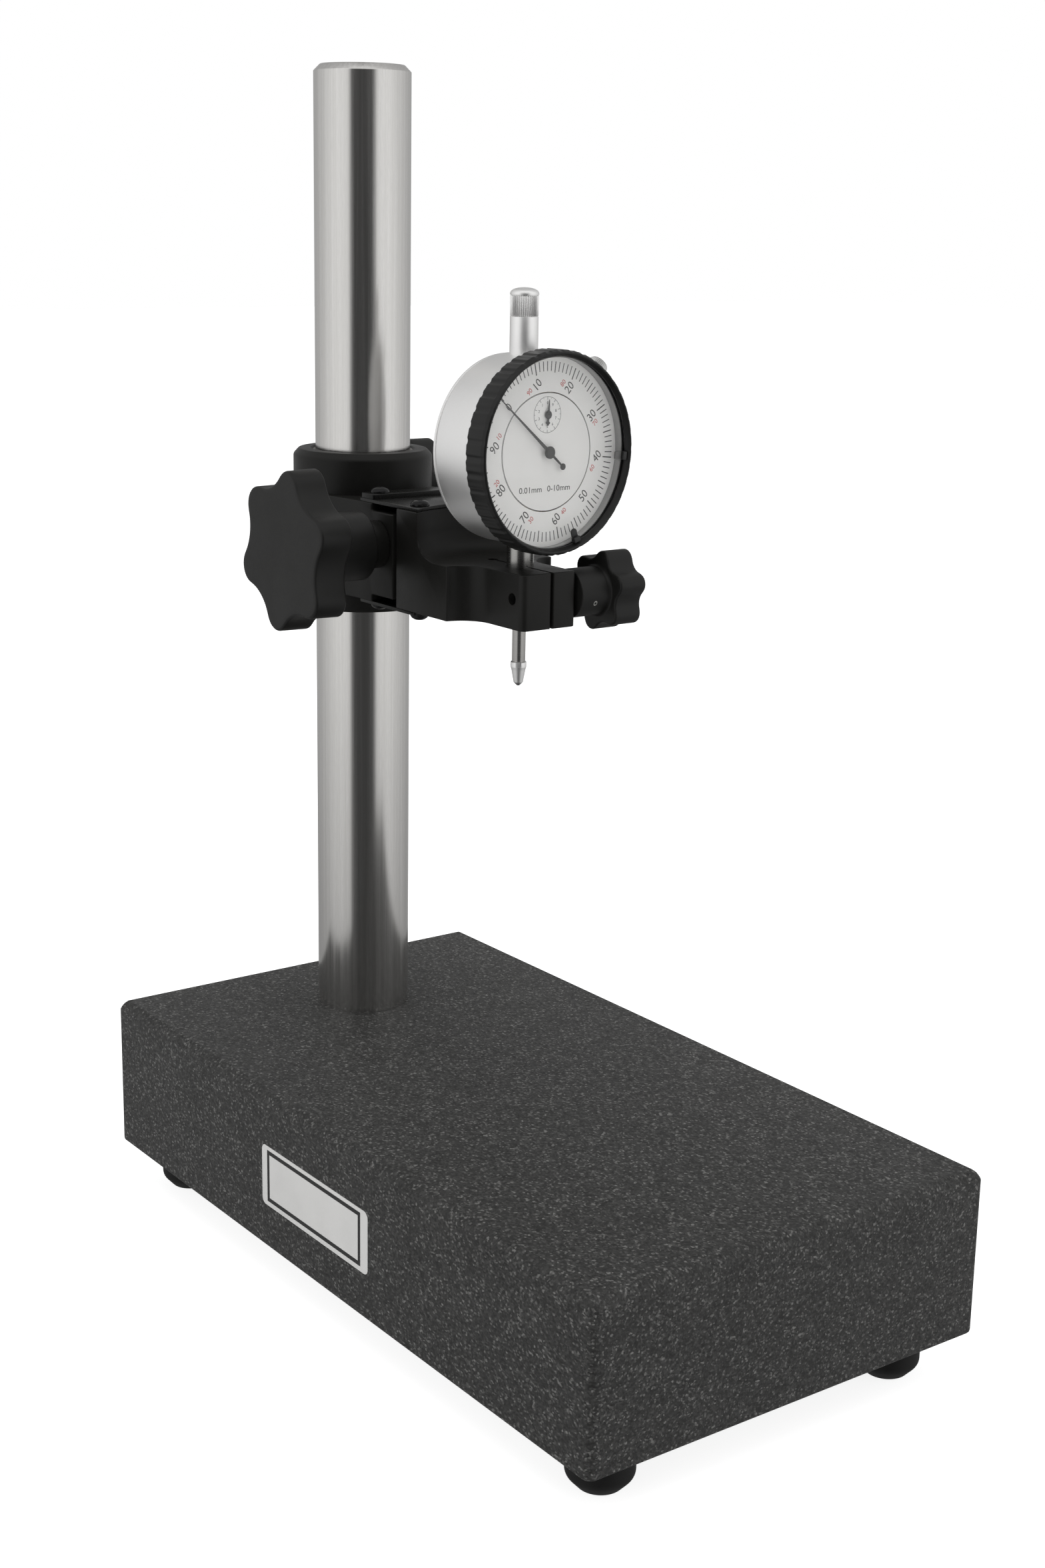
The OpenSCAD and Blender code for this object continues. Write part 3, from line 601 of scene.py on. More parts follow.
def build_clamp():
    bm = new_bm()
    lathe(bm, rnd([(0, 199.6), (21.3, 199.6), (22, 200.4), (22, 247.2), (20.3, 249), (0, 249)], [0, 0.4, 0.5, 1.6, 0.8, 0], 5, closed=False),
          COLUMN, 160, closed=False)
    adds = []
    blk = new_bm()
    prism(blk, [(-21.2, 81.5), (-19, 58), (-19, 39.6), (19, 39.6), (19, 58), (21.2, 81.5)], 206.4, 236.4)
    adds.append(blk)
    ear = new_bm()
    prism(ear, [(107.5, -8)] + arc(107.5, 0, 8, -90, 90, 32)[1:] + [(96.5, 8), (96.5, -8)], -8, 19.5,
          T(0, 0, 224) @ Matrix(((0, 0, 1, 0), (1, 0, 0, 0), (0, 1, 0, 0), (0, 0, 0, 1))))
    adds.append(ear)
    cuts = []

    def cut(fn, *a, **k):
        c = new_bm()
        fn(c, *a, **k)
        cuts.append(c)

    cut(lathe, [(0, 190), (15.85, 190), (15.85, 248.2), (16.65, 249.01), (16.65, 260), (0, 260)], COLUMN, 160, False)
    cut(prism, rect(2, 60, 0, cy=30), 190, 260, COLUMN)
    box_y = lambda y0, y1: [(-30, y0), (30, y0), (30, y1), (-30, y1)]
    cut(prism, box_y(38.6, 51.4), 234.2, 240)
    cut(prism, box_y(38.6, 51.4), 204, 208.6)
    cut(cyl, 4.02, -12, 0.5, T(0, 107.5, 224) @ ALONG_X, 48)
    cut(cyl, 4.3, 0, 22, T(0, 107.5, 224) @ ALONG_X, 48)
    cut(cyl, 4.05, -25, 25, T(0, 47.8, 224.5) @ ALONG_X, 48)
    cut(prism, [(-9.3, 42.2), (9.3, 42.2), (9.3, 53.4), (-9.3, 53.4)], 211.8, 251.8)
    cut(prism, [(-7, 38.6), (7, 38.6), (7, 48.6), (-7, 48.6)], 211.8, 218.9)
    bm = carve(bm, cuts, adds)

    def keep(e):
        a, b = e.verts[0].co, e.verts[1].co
        mid = (a + b) / 2
        if abs(mid.x) < 12 and 41 < mid.y < 55 and mid.z > 209.5:
            return False                               # inside the cavity
        q = math.hypot(mid.x, mid.y - 86.5)
        if q < 17.5 and mid.y < 101:
            return False                               # the bore
        if abs((Vector((0, mid.y, mid.z)) - Vector((0, 47.8, 224.5))).length - 4.05) < 0.3:
            return False
        d = (Vector((0, mid.y, mid.z)) - Vector((0, 107.5, 224))).length
        if d < 5:
            return False
        if q < 22.3 and q > 21.0 and 200.5 < mid.z < 246 and mid.y < 101:
            return False                               # where the block runs into the collar
        return True
    soften(bm, 0.45, 32, 3, keep)
    piece("clamp_casting", bm, "clamp", M_BLACK, ["clamp_body"], 32)


def leaf(name, z, notch, rep):
    bm = new_bm()
    if notch:
        a = math.degrees(math.asin(18.7 / 31.7))
        front = arc(0, 0.8, 31.7, 90 + a, 90 - a, 36)
        outline = front + rnd([(18.7, 30), (18.7, 59), (-18.7, 59), (-18.7, 30)], [0, 1.0, 1.0, 0], 4, closed=False)[1:-1]
    else:
        outline = rnd([(-18.7, 28.4), (18.7, 28.4), (18.7, 59), (-18.7, 59)], 1.0, 4)
    prism(bm, outline, z, z + 1, e=0.13, e0=0.13, n=2)
    if notch:
        pad = new_bm()
        prism(pad, rnd([(-18.2, 51.4), (18.2, 51.4), (18.2, 58.7), (-18.2, 58.7)], 0.8, 3), z + 0.6, z + 2.5, e=0.25, e0=0, n=3)
        bm = carve(bm, adds=[pad])
    piece(name, bm, "clamp", M_LEAF, [rep], 30)


def button_screw(bm, m, bore=True):
    """Button-head screw: local origin under the head, +Z up."""
    segs = 48
    hexr = lambda t: 0.98 / math.cos((t + PI / 6) % (PI / 3) - PI / 6)
    prof = [(2.0, -9.0), (2.0, 0.0), (2.78, 0.0), (2.9, 0.1), (2.89, 0.35), (2.76, 0.75), (2.5, 1.08), (2.12, 1.35), (1.68, 1.55), (1.3, 1.66)]
    rings = [[bm.verts.new(m @ Vector((r * math.cos(2 * PI * k / segs), r * math.sin(2 * PI * k / segs), h))) for k in range(segs)] for r, h in prof]
    for h, g in ((1.66, 1.06), (1.56, 1.0), (0.72, 1.0)):
        rings.append([bm.verts.new(m @ Vector((hexr(2 * PI * k / segs) * g * math.cos(2 * PI * k / segs),
                                                hexr(2 * PI * k / segs) * g * math.sin(2 * PI * k / segs), h))) for k in range(segs)])
    rings.append([bm.verts.new(m @ Vector((0, 0, 0.5)))])
    rings.insert(0, [bm.verts.new(m @ Vector((0, 0, -9)))])
    for a, b in zip(rings, rings[1:]):
        faces_between(bm, a, b)


def leaf_screw_set(name, y, body, rep, up=0.0):
    bm = new_bm()
    for k, sx in enumerate((-1, 1)):
        button_screw(bm, T(sx * 13.5, y, 237.4 + up) @ R(17 + 31 * k + y, "Z"))
        button_screw(bm, T(sx * 13.5, y, 205.4) @ R(180, "X") @ R(8 + 23 * k + y, "Z") @ Matrix.Diagonal((1, 1, 1.35, 1)))
    piece(name, bm, body, M_SCREW, [rep], 30)


# --------------------------------------------------------------------- knobs


BIG_STAR = (18.9, 5.5, 34.0, 14.505)
SMALL_STAR = (9.2, 3.0, 14.45, 4.85)


def star_radius(t, v):
    """Six lobes joined by tangent valleys; v as in the part's source."""
    cl, rl, cv, rv = v
    b = abs((t + PI / 6) % (PI / 3) - PI / 6)
    k = rl / (rl + rv)
    px, py = cl + (cv * math.cos(PI / 6) - cl) * k, cv * math.sin(PI / 6) * k
    if b < math.atan2(py, px):
        return cl * math.cos(b) + math.sqrt(max(0.0, rl * rl - (cl * math.sin(b)) ** 2))
    g = PI / 6 - b
    return cv * math.cos(g) - math.sqrt(max(0.0, rv * rv - (cv * math.sin(g)) ** 2))


def star_knob(bm, m, star, thick, hub_r, hub_len, bore, turn=0.0, taper=1.0, edge=0.9, hub_edge=0.6, fillet=2.2):
    """Star knob along local Z: outer face at 0, hub end at thick + hub_len."""
    segs = 240
    raw = [star_radius(2 * PI * k / segs, star) for k in range(segs)]
    soft = []
    for k in range(segs):
        acc = wsum = 0.0
        for d in range(-3, 4):
            w = math.exp(-(d / 1.3) ** 2)
            acc += raw[(k + d) % segs] * w
            wsum += w
        soft.append(acc / wsum)
    rings = []

    def ring(z, f):
        vs = []
        for k in range(segs):
            t = 2 * PI * k / segs + math.radians(turn)
            q = f(soft[k])
            vs.append(bm.verts.new(m @ Vector((q * math.cos(t), q * math.sin(t), z))))
        rings.append(vs)

    rings.append([bm.verts.new(m @ Vector((0, 0, 0.0)))])
    base = (star[0] + star[1]) * 0.3
    for w in (0.3, 0.62, 0.9):
        ring(0.0, lambda s, w=w: base * (1 - w) * 1.0 + (s - edge) * w if w > 0.3 else base)
    for q in range(0, 6):
        w = PI / 2 * q / 5
        ring(edge * (1 - math.cos(w)), lambda s, w=w: s - edge * (1 - math.sin(w)))
    e2 = edge * 0.75
    n = 4
    for q in range(1, n + 1):
        z = edge + (thick - edge - e2) * q / n
        ring(z, lambda s, q=q: s - taper * q / n)
    for q in range(1, 6):
        w = PI / 2 * q / 5
        ring(thick - e2 * (1 - math.sin(w)), lambda s, w=w: s - taper - e2 * (1 - math.cos(w)))
    ring(thick, lambda s: (s - taper - e2) * 0.5 + (hub_r + fillet) * 0.5)
    for q in range(0, 6):
        w = PI / 2 * q / 5
        ring(thick + fillet * (1 - math.cos(w)), lambda s, w=w: hub_r + fillet * (1 - math.sin(w)))
    end = thick + hub_len
    ring(end - hub_edge, lambda s: hub_r)
    for q in range(1, 4):
        w = PI / 2 * q / 3
        ring(end - hub_edge * (1 - math.sin(w)), lambda s, w=w: hub_r - hub_edge * (1 - math.cos(w)))
    ring(end, lambda s: bore)
    ring(thick * 0.45, lambda s: bore)
    rings.append([bm.verts.new(m @ Vector((0, 0, thick * 0.45 - 0.3)))])
    for a, b in zip(rings, rings[1:]):
        faces_between(bm, a, b)


def threaded(bm, m, r, h0, h1, pitch, depth, plain=0.0, segs=48):
    """Screw shank with rounded thread rings; a tapered point at h0."""
    prof = [(0, h0), (r - depth - 0.5, h0), (r - depth, h0 + 0.6)]
    h = h0 + 0.6
    while h + pitch < h1 - plain:
        prof += [(r - depth, h + pitch * 0.1), (r - 0.02, h + pitch * 0.42), (r - 0.02, h + pitch * 0.58), (r - depth, h + pitch * 0.9)]
        h += pitch
    prof += [(r, h + pitch * 0.5), (r, h1), (0, h1)]
    lathe(bm, prof, m, segs, closed=False)


def build_knobs():
    # fine adjustment, on the left
    bm = new_bm()
    star_knob(bm, T(-52.6, 47.8, 224.5) @ ALONG_X, BIG_STAR, 10.2, 10.4, 17.0, 4.0, turn=10.4, taper=-0.2)
    piece("fine_star_knob", bm, "fine_knob", M_KNOB, ["fine_knob"], 40)
    bm = new_bm()
    lathe(bm, rnd([(4.0, -25.4), (7.2, -25.4), (7.2, -19.1), (4.0, -19.1)], 0.45, 3), T(0, 47.8, 224.5) @ ALONG_X, 96)
    piece("fine_spacer_ring", bm, "fine_knob", M_BLACK, ["fine_spacer"])
    bm = new_bm()
    lathe(bm, rnd([(0, -46), (4, -46), (4, 19.4), (3, 19.4), (3, 20.2), (4, 20.2), (4, 21.5), (3.5, 22), (0, 22)],
                  [0, 0.3, 0, 0, 0, 0, 0.1, 0.1, 0], 2, closed=False), T(0, 47.8, 224.5) @ ALONG_X, 64, closed=False)
    piece("fine_screw_shaft", bm, "fine_knob", M_ZINC, ["fine_screw"])
    bm = new_bm()
    lathe(bm, rnd([(3.02, 19.42), (6, 19.42), (6, 20.18), (3.02, 20.18)], 0.12, 2), T(0, 47.8, 224.5) @ ALONG_X, 64)
    c = new_bm()
    prism(c, rect(8, 4), 18, 22, T(0, 47.8, 224.5) @ ALONG_X @ T(-4, 0, 0))
    bm = carve(bm, [c])
    piece("fine_retaining_clip", bm, "fine_knob", M_SCREW, ["fine_clip"])
    # clamp, on the right behind the column
    m = T(39.8, 107.5, 224) @ R(-90, "Y")
    bm = new_bm()
    star_knob(bm, m, BIG_STAR, 9.4, 10.4, 8.0, 4.0, taper=0.0)
    piece("clamp_star_knob", bm, "clamp_knob", M_KNOB, ["clamp_knob"], 40)
    bm = new_bm()
    threaded(bm, T(0, 107.5, 224) @ ALONG_X, 4.0, -8, 35, 1.25, 0.4, plain=24)
    piece("clamp_screw_shaft", bm, "clamp_knob", M_ZINC, ["clamp_screw"])
    bm = new_bm()
    lathe(bm, rnd([(4.08, 19.6), (7.2, 19.6), (7.2, 22.4), (4.08, 22.4)], 0.35, 3), T(0, 107.5, 224) @ ALONG_X, 96)
    piece("clamp_spacer_ring", bm, "clamp_spacer", M_BLACK, ["clamp_spacer"])
    # gauge stem clamp, on the front right
    m = T(29.7, -9.4, 215.3) @ R(-90, "Y")
    bm = new_bm()
    star_knob(bm, m, SMALL_STAR, 9.5, 7.2, 10.35, 2.0, turn=-14 + 180, taper=0.0, edge=0.9, hub_edge=0.25, fillet=0.9)
    piece("stem_star_knob", bm, "stem_knob", M_KNOB, ["stem_knob"], 40)
    bm = new_bm()
    threaded(bm, T(0, -9.4, 215.3) @ ALONG_X, 2.0, -6.8, 24, 0.7, 0.22, plain=17, segs=40)
    piece("stem_screw_shaft", bm, "stem_knob", M_ZINC, ["stem_screw"])
    bm = new_bm()
    lathe(bm, rnd([(0, 2.6), (0.8, 2.6), (0.8, 7.2), (0.3, 7.2), (0.3, 6.9), (0, 6.9)], [0, 0, 0.12, 0.08, 0, 0], 2, closed=False),
          T(14.9, -9.4, 215.3) @ R(110, "X"), 40, closed=False)
    piece("stem_knob_roll_pin", bm, "stem_knob", M_STEM, ["stem_knob_pin"])


def build_wedge():
    bm = new_bm()
    m = T(0, 47.8, 224.5) @ R(90, "X")
    prism(bm, [(-4.6, -8.675), (4.6, -7.525), (4.6, 7), (-4.6, 7)], -5, 5, m, e=0.3, e0=0.3, n=2)
    c = new_bm()
    cyl(c, 4.05, -6, 6, T(0, 47.8, 224.5) @ ALONG_X, 48)
    bm = carve(bm, [c])
    piece("wedge_nut", bm, "wedge", M_BRASS, ["fine_wedge"])


# ----------------------------------------------------------------------- arm


def build_arm():
    z0, z1 = 206.4, 236.4
    plan = ([(-19, 37.8), (-19, 10.8)] + arc(-19, 2.0, 8.8, 90, 0, 14)[1:] + rnd([(-10.2, 2.0), (-10.1, -14.5), (0, -14.5)], [0, 2.2, 0], 6, closed=False)[1:-1]
            + rnd([(0, -14.5), (8.7, -14.5), (8.9, 2.0)], [0, 0.9, 0], 3, closed=False)[1:-1]
            + arc(17.7, 2.0, 8.8, 180, 90, 14) + [(19, 10.8), (19, 37.8)])
    bm = new_bm()
    prism(bm, plan, z0, z1)
    tongue = new_bm()
    prism(tongue, [(-6, -12), (6, -12), (6, -7.55), (-6, -9.05)], -52.4, -36.4, T(0, 0, 224.5) @ R(90, "X"))
    cuts = []

    def cut(fn, *a, **k):
        c = new_bm()
        fn(c, *a, **k)
        cuts.append(c)

    # pocket the gauge turns in, with its rounded floor
    prof = [(0, 222.7)] + [(32 - 7 + 7 * math.sin(math.radians(a)), 222.7 + 7 - 7 * math.cos(math.radians(a))) for a in range(0, 91, 9)] + [(32, 290), (0, 290)]
    cut(lathe, prof, T(0, 0.8, 0), 160, False)
    cut(prism, [(-16, -20), (16, -20), (16, 5), (-16, 5)], 222.7, 260)
    cut(cyl, 4.02, 200, 240, T(0, 0.8, 0), 64)
    cut(prism, [(-0.1, -20), (0.9, -20), (0.9, 15), (-0.1, 15)], 200, 241)
    cut(cyl, 1.6, 200, 240, T(0.4, 15, 0), 32)
    cut(lathe, [(0, -15), (1.75, -15), (1.75, -7), (2.02, -7), (2.02, 0.2), (0, 0.2)], T(0, -9.4, 215.3) @ ALONG_X, 40, False)
    cut(cyl, 2.3, 0.5, 15, T(0, -9.4, 215.3) @ ALONG_X, 40)
    bm = carve(bm, cuts, [tongue])

    def keep(e):
        a, b = e.verts[0].co, e.verts[1].co
        mid = (a + b) / 2
        if mid.y > 38.0:
            return False
        if math.hypot(mid.x, mid.y - 0.8) < 4.3:
            return False
        if math.hypot(mid.x - 0.4, mid.y - 15) < 2.0:
            return False
        if (Vector((0, mid.y, mid.z)) - Vector((0, -9.4, 215.3))).length < 3.2 and abs(mid.x) > 5:
            return False
        if abs(mid.x) < 1.4 and mid.y > -14 and mid.y < 14:
            return False
        return True
    soften(bm, 0.4, 32, 3, keep)
    piece("arm_block", bm, "arm", M_BLACK, ["arm"], 32)


# --------------------------------------------------------------------- gauge


def build_gauge_case():
    bm = new_bm()
    lathe(bm, rnd([(25, -7), (26.4, -7), (27, -6.3), (27, 7.5), (27.1, 7.6), (27.1, 8.0), (26.9, 8.2), (26.55, 8.2), (26.55, 9.3), (25, 9.3)],
                  [0, 0.3, 0.5, 0, 0.06, 0.06, 0.06, 0, 0.1, 0], 3), FACE, 192)
    c1, c2 = new_bm(), new_bm()
    cyl(c1, 4.0, -40, 40, GAUGE, 64)
    cyl(c2, 1.27, 20, 32, GAUGE @ R(47 - 90, "Y") @ T(0, -4.6, 0) @ ALONG_X, 32)
    bm = carve(bm, [c1, c2])
    piece("gauge_shell", bm, "gauge", M_CHROME, ["gauge_case"], 30)
    # back cover with a shallow turned rim
    bm = new_bm()
    lathe(bm, rnd([(0, -7.9), (20.6, -7.9), (21.0, -8.2), (26.3, -8.2), (26.8, -7.7), (26.8, -7.0), (0, -7.0)],
                  [0, 0.2, 0.2, 0.2, 0.2, 0.1, 0], 3, closed=False), FACE, 160, closed=False)
    cuts = []
    for a in (45, 135, 225, 315):
        c = new_bm()
        cyl(c, 0.76, -9, -7.8, FACE @ T(25.7 * math.cos(math.radians(a)), 25.7 * math.sin(math.radians(a)), 0), 32)
        cuts.append(c)
    bm = carve(bm, cuts)
    piece("gauge_back", bm, "gauge", M_CHROME, ["back_cover"], 30)
    bm = new_bm()
    for a in (45, 135, 225, 315):
        m = FACE @ T(25.7 * math.cos(math.radians(a)), 25.7 * math.sin(math.radians(a)), 0)
        lathe(bm, rnd([(0, -8.15), (0.7, -8.15), (0.7, -7.81), (0.4, -7.81), (0.4, -4), (0, -4)], [0, 0.12, 0, 0, 0.1, 0], 2, closed=False), m, 32, closed=False)
    cuts = []
    for a in (45, 135, 225, 315):
        m = FACE @ T(25.7 * math.cos(math.radians(a)), 25.7 * math.sin(math.radians(a)), 0)
        c = new_bm()
        prism(c, rect(1.8, 0.22), -9, -8.0, m @ R(a * 1.7, "Z"))
        cuts.append(c)
    bm = carve(bm, cuts)
    piece("back_screw_set", bm, "gauge", M_ZINC, ["back_cover_screws"])
    # stem
    bm = new_bm()
    lathe(bm, rnd([(2.05, -47.5), (4, -47.5), (4, -25), (2.05, -25)], [0.1, 0.4, 0, 0], 3), GAUGE, 96)
    piece("stem_tube", bm, "gauge", M_STEM, ["stem"], 30)
    # upper sleeve and its cap
    bm = new_bm()
    lathe(bm, rnd([(2.05, 25.1), (4.0, 25.1), (4.0, 26.9), (4.1, 27.0), (4.1, 37.35), (3.2, 37.4), (3.2, 40.4), (2.05, 40.4)],
                  [0, 0, 0, 0.05, 0.15, 0, 0.2, 0.1], 2), GAUGE, 96)
    piece("upper_sleeve_tube", bm, "gauge", M_CHROME, ["upper_sleeve"], 30)
    bm = new_bm()
    teeth = 40

    def knurl(t, r, h, i):
        if 1 <= i <= 4 and r > 3.9:
            return r - 0.15 * (1 + math.cos(t * teeth))
        return r
    prof = [(3.2, 37.42), (3.98, 37.42), (4.1, 37.56), (4.1, 42.9), (4.0, 43.05), (3.92, 43.1), (3.92, 43.2), (4.13, 43.3), (4.15, 43.5), (4.13, 43.72)]
    prof += [(4.1 * math.cos(math.radians(a)) ** 0.9, 43.75 + 1.6 * math.sin(math.radians(a))) for a in (8, 18, 28, 38, 48, 58, 68, 78, 85)]
    prof += [(0, 45.35)]
    lathe(bm, prof + [(0, 43.3), (3.2, 43.3)], GAUGE, teeth * 8, closed=True, rf=knurl)
    bmesh.ops.remove_doubles(bm, verts=bm.verts, dist=1e-4)
    piece("knurled_cap", bm, "gauge", M_CHROME, ["dust_cap"], 38)


def scallop(t, n, depth, wide):
    """0..depth: narrow shallow notches between longer flats."""
    a = (t * n / (2 * PI)) % 1.0
    d = min(a, 1 - a)
    return depth * math.exp(-(d / wide) ** 4) + 0.10 * (2 * d) ** 2


def build_bezel():
    bm = new_bm()
    prof = rnd([(26.95, 8.4), (28.6, 8.4), (29.0, 8.8), (29.0, 14.9), (28.5, 15.9), (28.1, 16.2), (27.7, 16.1), (26.95, 14.75), (26.95, 14.4), (27.6, 14.4), (27.6, 12.8), (26.95, 12.8)],
               [0.1, 0.2, 0.3, 0.8, 0.4, 0.3, 0.3, 0.1, 0, 0, 0, 0], 4)

    def rim(t, r, h, i):
        if r < 27.75:
            return r
        f = min(1.0, (r - 27.75) / 0.9)
        g = 1.0 if h < 14.2 else max(0.35, 1 - (h - 14.2) / 2.6)
        return r - scallop(t, 40, 0.36, 0.17) * f * g
    lathe(bm, prof, FACE, 40 * 16, closed=True, rf=rim)
    piece("bezel_ring", bm, "bezel", M_BEZEL, ["bezel"], 40)
    # pale inner wall that holds the dial ring; its material is a darker grey that paints in the wall's shade
    bm = new_bm()
    lathe(bm, rnd([(26.62, 9.6), (26.93, 9.6), (26.93, 12.78), (26.62, 12.78)], 0.08, 2), FACE, 160)
    piece("bezel_liner", bm, "bezel", M_LINER_PAINTED_SHADE)
    # glass
    bm = new_bm()
    lathe(bm, rnd([(0, 12.82), (27.5, 12.82), (27.5, 14.1), (27.2, 14.38), (0, 14.38)], [0, 0.1, 0.15, 0.15, 0], 3, closed=False), FACE, 128, closed=False)
    g = piece("crystal_disc", bm, "bezel", M_GLASS, ["crystal"], 30)
    g.visible_shadow = False


def build_dials():
    # outer ring turns with the bezel; its figures stand upright to its own zero
    turn = FACE @ R(47.5, "Z")
    bm = new_bm()
    lathe(bm, rnd([(16.7, 9.54), (26.58, 9.54), (26.58, 9.96), (16.7, 9.96)], 0.04, 1), FACE, 160)
    piece("scale_ring", bm, "bezel", M_DIAL, ["outer_dial"], 30)
    bm = new_bm()
    for k in range(100):
        if k % 10 == 0:
            r0, w = 21.7, 0.34
        elif k % 5 == 0:
            r0, w = 22.0, 0.30
        else:
            r0, w = 22.4, 0.26
        tick(bm, k * 3.6, r0, 25.1, w, 9.95, 9.985, turn)
    for k in range(10):
        a = math.radians(36 * k)
        lettering(bm, str(10 * k), 3.6, turn @ T(19.35 * math.sin(a), 19.35 * math.cos(a), 9.955), 0.03, wide=0.9)
    piece("scale_print", bm, "bezel", M_INK)
    bm = new_bm()
    # small reverse figures beside the black ones: (tens, tens of the reverse, dx, dy) in the ring's own frame
    for k, rev, dx, dy in ((1, 9, -3.4, 0.9), (2, 8, -0.5, 2.7), (3, 7, -0.4, -2.5), (4, 6, -3.5, -1.0),
                           (6, 4, 3.3, -0.9), (7, 3, 0.8, -2.5), (8, 2, 0.4, 2.5), (9, 1, 3.3, 1.0)):
        a = math.radians(36 * k)
        lettering(bm, str(10 * rev), 2.0, turn @ T(19.2 * math.sin(a) + dx, 19.2 * math.cos(a) + dy, 9.955), 0.03)
    piece("reverse_print", bm, "bezel", M_RED)
    # fixed inner disc with the small counter scale
    bm = new_bm()
    lathe(bm, rnd([(0, 9.5), (16.5, 9.5), (16.5, 9.96), (0, 9.96)], [0, 0.04, 0.04, 0], 1, closed=False), FACE, 160, closed=False)
    piece("inner_disc", bm, "gauge", M_DIAL, ["inner_dial"], 30)
    bm = new_bm()
    ring_line(bm, 16.42, 0.12, 9.95, 9.985, FACE)
    sub = FACE @ T(0, 10.4, 0)
    ring_line(bm, 5.0, 0.10, 9.95, 9.985, sub, 96)
    for k in range(10):
        tick(bm, -36 * k, 4.15, 5.0, 0.12, 9.95, 9.985, sub)
        a = math.radians(-36 * k)
        lettering(bm, str(k), 1.15, sub @ T(3.3 * math.sin(a), 3.3 * math.cos(a), 9.955) , 0.03)
    for k in range(20):
        tick(bm, 18 * k, 4.55, 5.0, 0.08, 9.95, 9.98, sub)
    lettering(bm, "0.01mm", 2.4, FACE @ T(-5.9, -10.2, 9.955), 0.03, length=8.4)
    lettering(bm, "0-10mm", 2.4, FACE @ T(4.7, -10.2, 9.955), 0.03, length=8.6)
    piece("inner_print", bm, "gauge", M_INK)


def build_pointers():
    bm = new_bm()
    m = FACE @ R(50, "Z")
    prism(bm, [(-0.5, -0.5), (0.5, -0.5), (0.5, 2.2), (0.40, 6), (0.15, 24.2), (-0.15, 24.2), (-0.40, 6), (-0.5, 2.2)], 11.15, 11.35, m, e=0.04, e0=0.04, n=1)
    prism(bm, [(-0.26, -6.3), (0.26, -6.3), (0.42, 0), (-0.42, 0)], 11.15, 11.35, m, e=0.04, e0=0.04, n=1)
    lathe(bm, rnd([(0, 11.1), (0.95, 11.1), (0.95, 11.42), (0, 11.42)], [0, 0.05, 0.08, 0], 2, closed=False), m @ T(0, -6.6, 0), 40, closed=False)
    lathe(bm, rnd([(0, 11.62), (0.4, 11.62), (0.4, 11.0), (1.75, 11.0), (1.75, 11.55), (1.45, 11.8), (0, 11.8)], [0, 0, 0, 0.1, 0.2, 0.15, 0], 3, closed=False), FACE, 64, closed=False)
    piece("main_pointer", bm, "center", M_INK, ["pointer"], 30)
    bm = new_bm()
    m = FACE @ T(0, 10.4, 0) @ R(-4, "Z")
    prism(bm, [(-0.42, 0), (-0.28, -1.7), (-0.75, -2.2), (0, -3.1), (0.75, -2.2), (0.28, -1.7), (0.42, 0), (0.06, 4.25), (-0.06, 4.25)], 10.32, 10.52, m, e=0.03, e0=0.03, n=1)
    lathe(bm, rnd([(0, 10.57), (0.4, 10.57), (0.4, 10.22), (1.2, 10.22), (1.2, 10.5), (0.9, 10.74), (0, 10.74)], [0, 0, 0, 0.08, 0.12, 0.1, 0], 3, closed=False), m, 48, closed=False)
    piece("counter_hand", bm, "counter", M_INK, ["counter_pointer"], 30)


def build_markers():
    for name, a in (("marker_a", 94.5), ("marker_b", 162.5)):
        m = FACE @ R(-a, "Z")
        bm = new_bm()
        tip = rnd([(-1.1, 26.6), (-1.1, 22.9), (1.1, 22.9), (1.1, 26.6)], [0, 0.25 if name == "marker_a" else 1.05, 0.25 if name == "marker_a" else 1.05, 0], 6, closed=False)
        prism(bm, tip, 14.52, 14.95, m, e=0.1, e0=0.08, n=2)
        if name == "marker_a":
            piece(name + "_window", bm, name, M_MARK)
            bm = new_bm()
        prism(bm, rnd([(-1.25, 25.3), (1.25, 25.3), (1.25, 26.9), (-1.25, 26.9)], 0.25, 3), 14.55, 15.85, m, e=0.25, e0=0.05, n=3)
        piece(name + "_tab", bm, name, M_INK, [name], 30)


def build_bezel_screw():
    bm = new_bm()
    m = GAUGE @ R(47 - 90, "Y") @ T(0, -4.6, 0) @ ALONG_X
    lathe(bm, [(0, 26.2), (1.0, 26.2), (1.25, 26.5), (1.25, 29.5), (0, 29.5)], m, 32, closed=False)
    teeth = 30

    def kn(t, r, h, i):
        return r - (0.14 * (1 + math.cos(t * teeth)) if r > 2.9 else 0)
    lathe(bm, rnd([(0, 29.4), (2.6, 29.4), (3.0, 29.7), (3.0, 34.5), (2.6, 35.0), (1.0, 35.0), (0, 34.8)], [0, 0.1, 0.1, 0.1, 0.2, 0.3, 0], 2, closed=False), m, teeth * 8, closed=False, rf=kn)
    piece("bezel_lock_screw", bm, "bezel_screw", M_ZINC, ["bezel_screw"], 38)


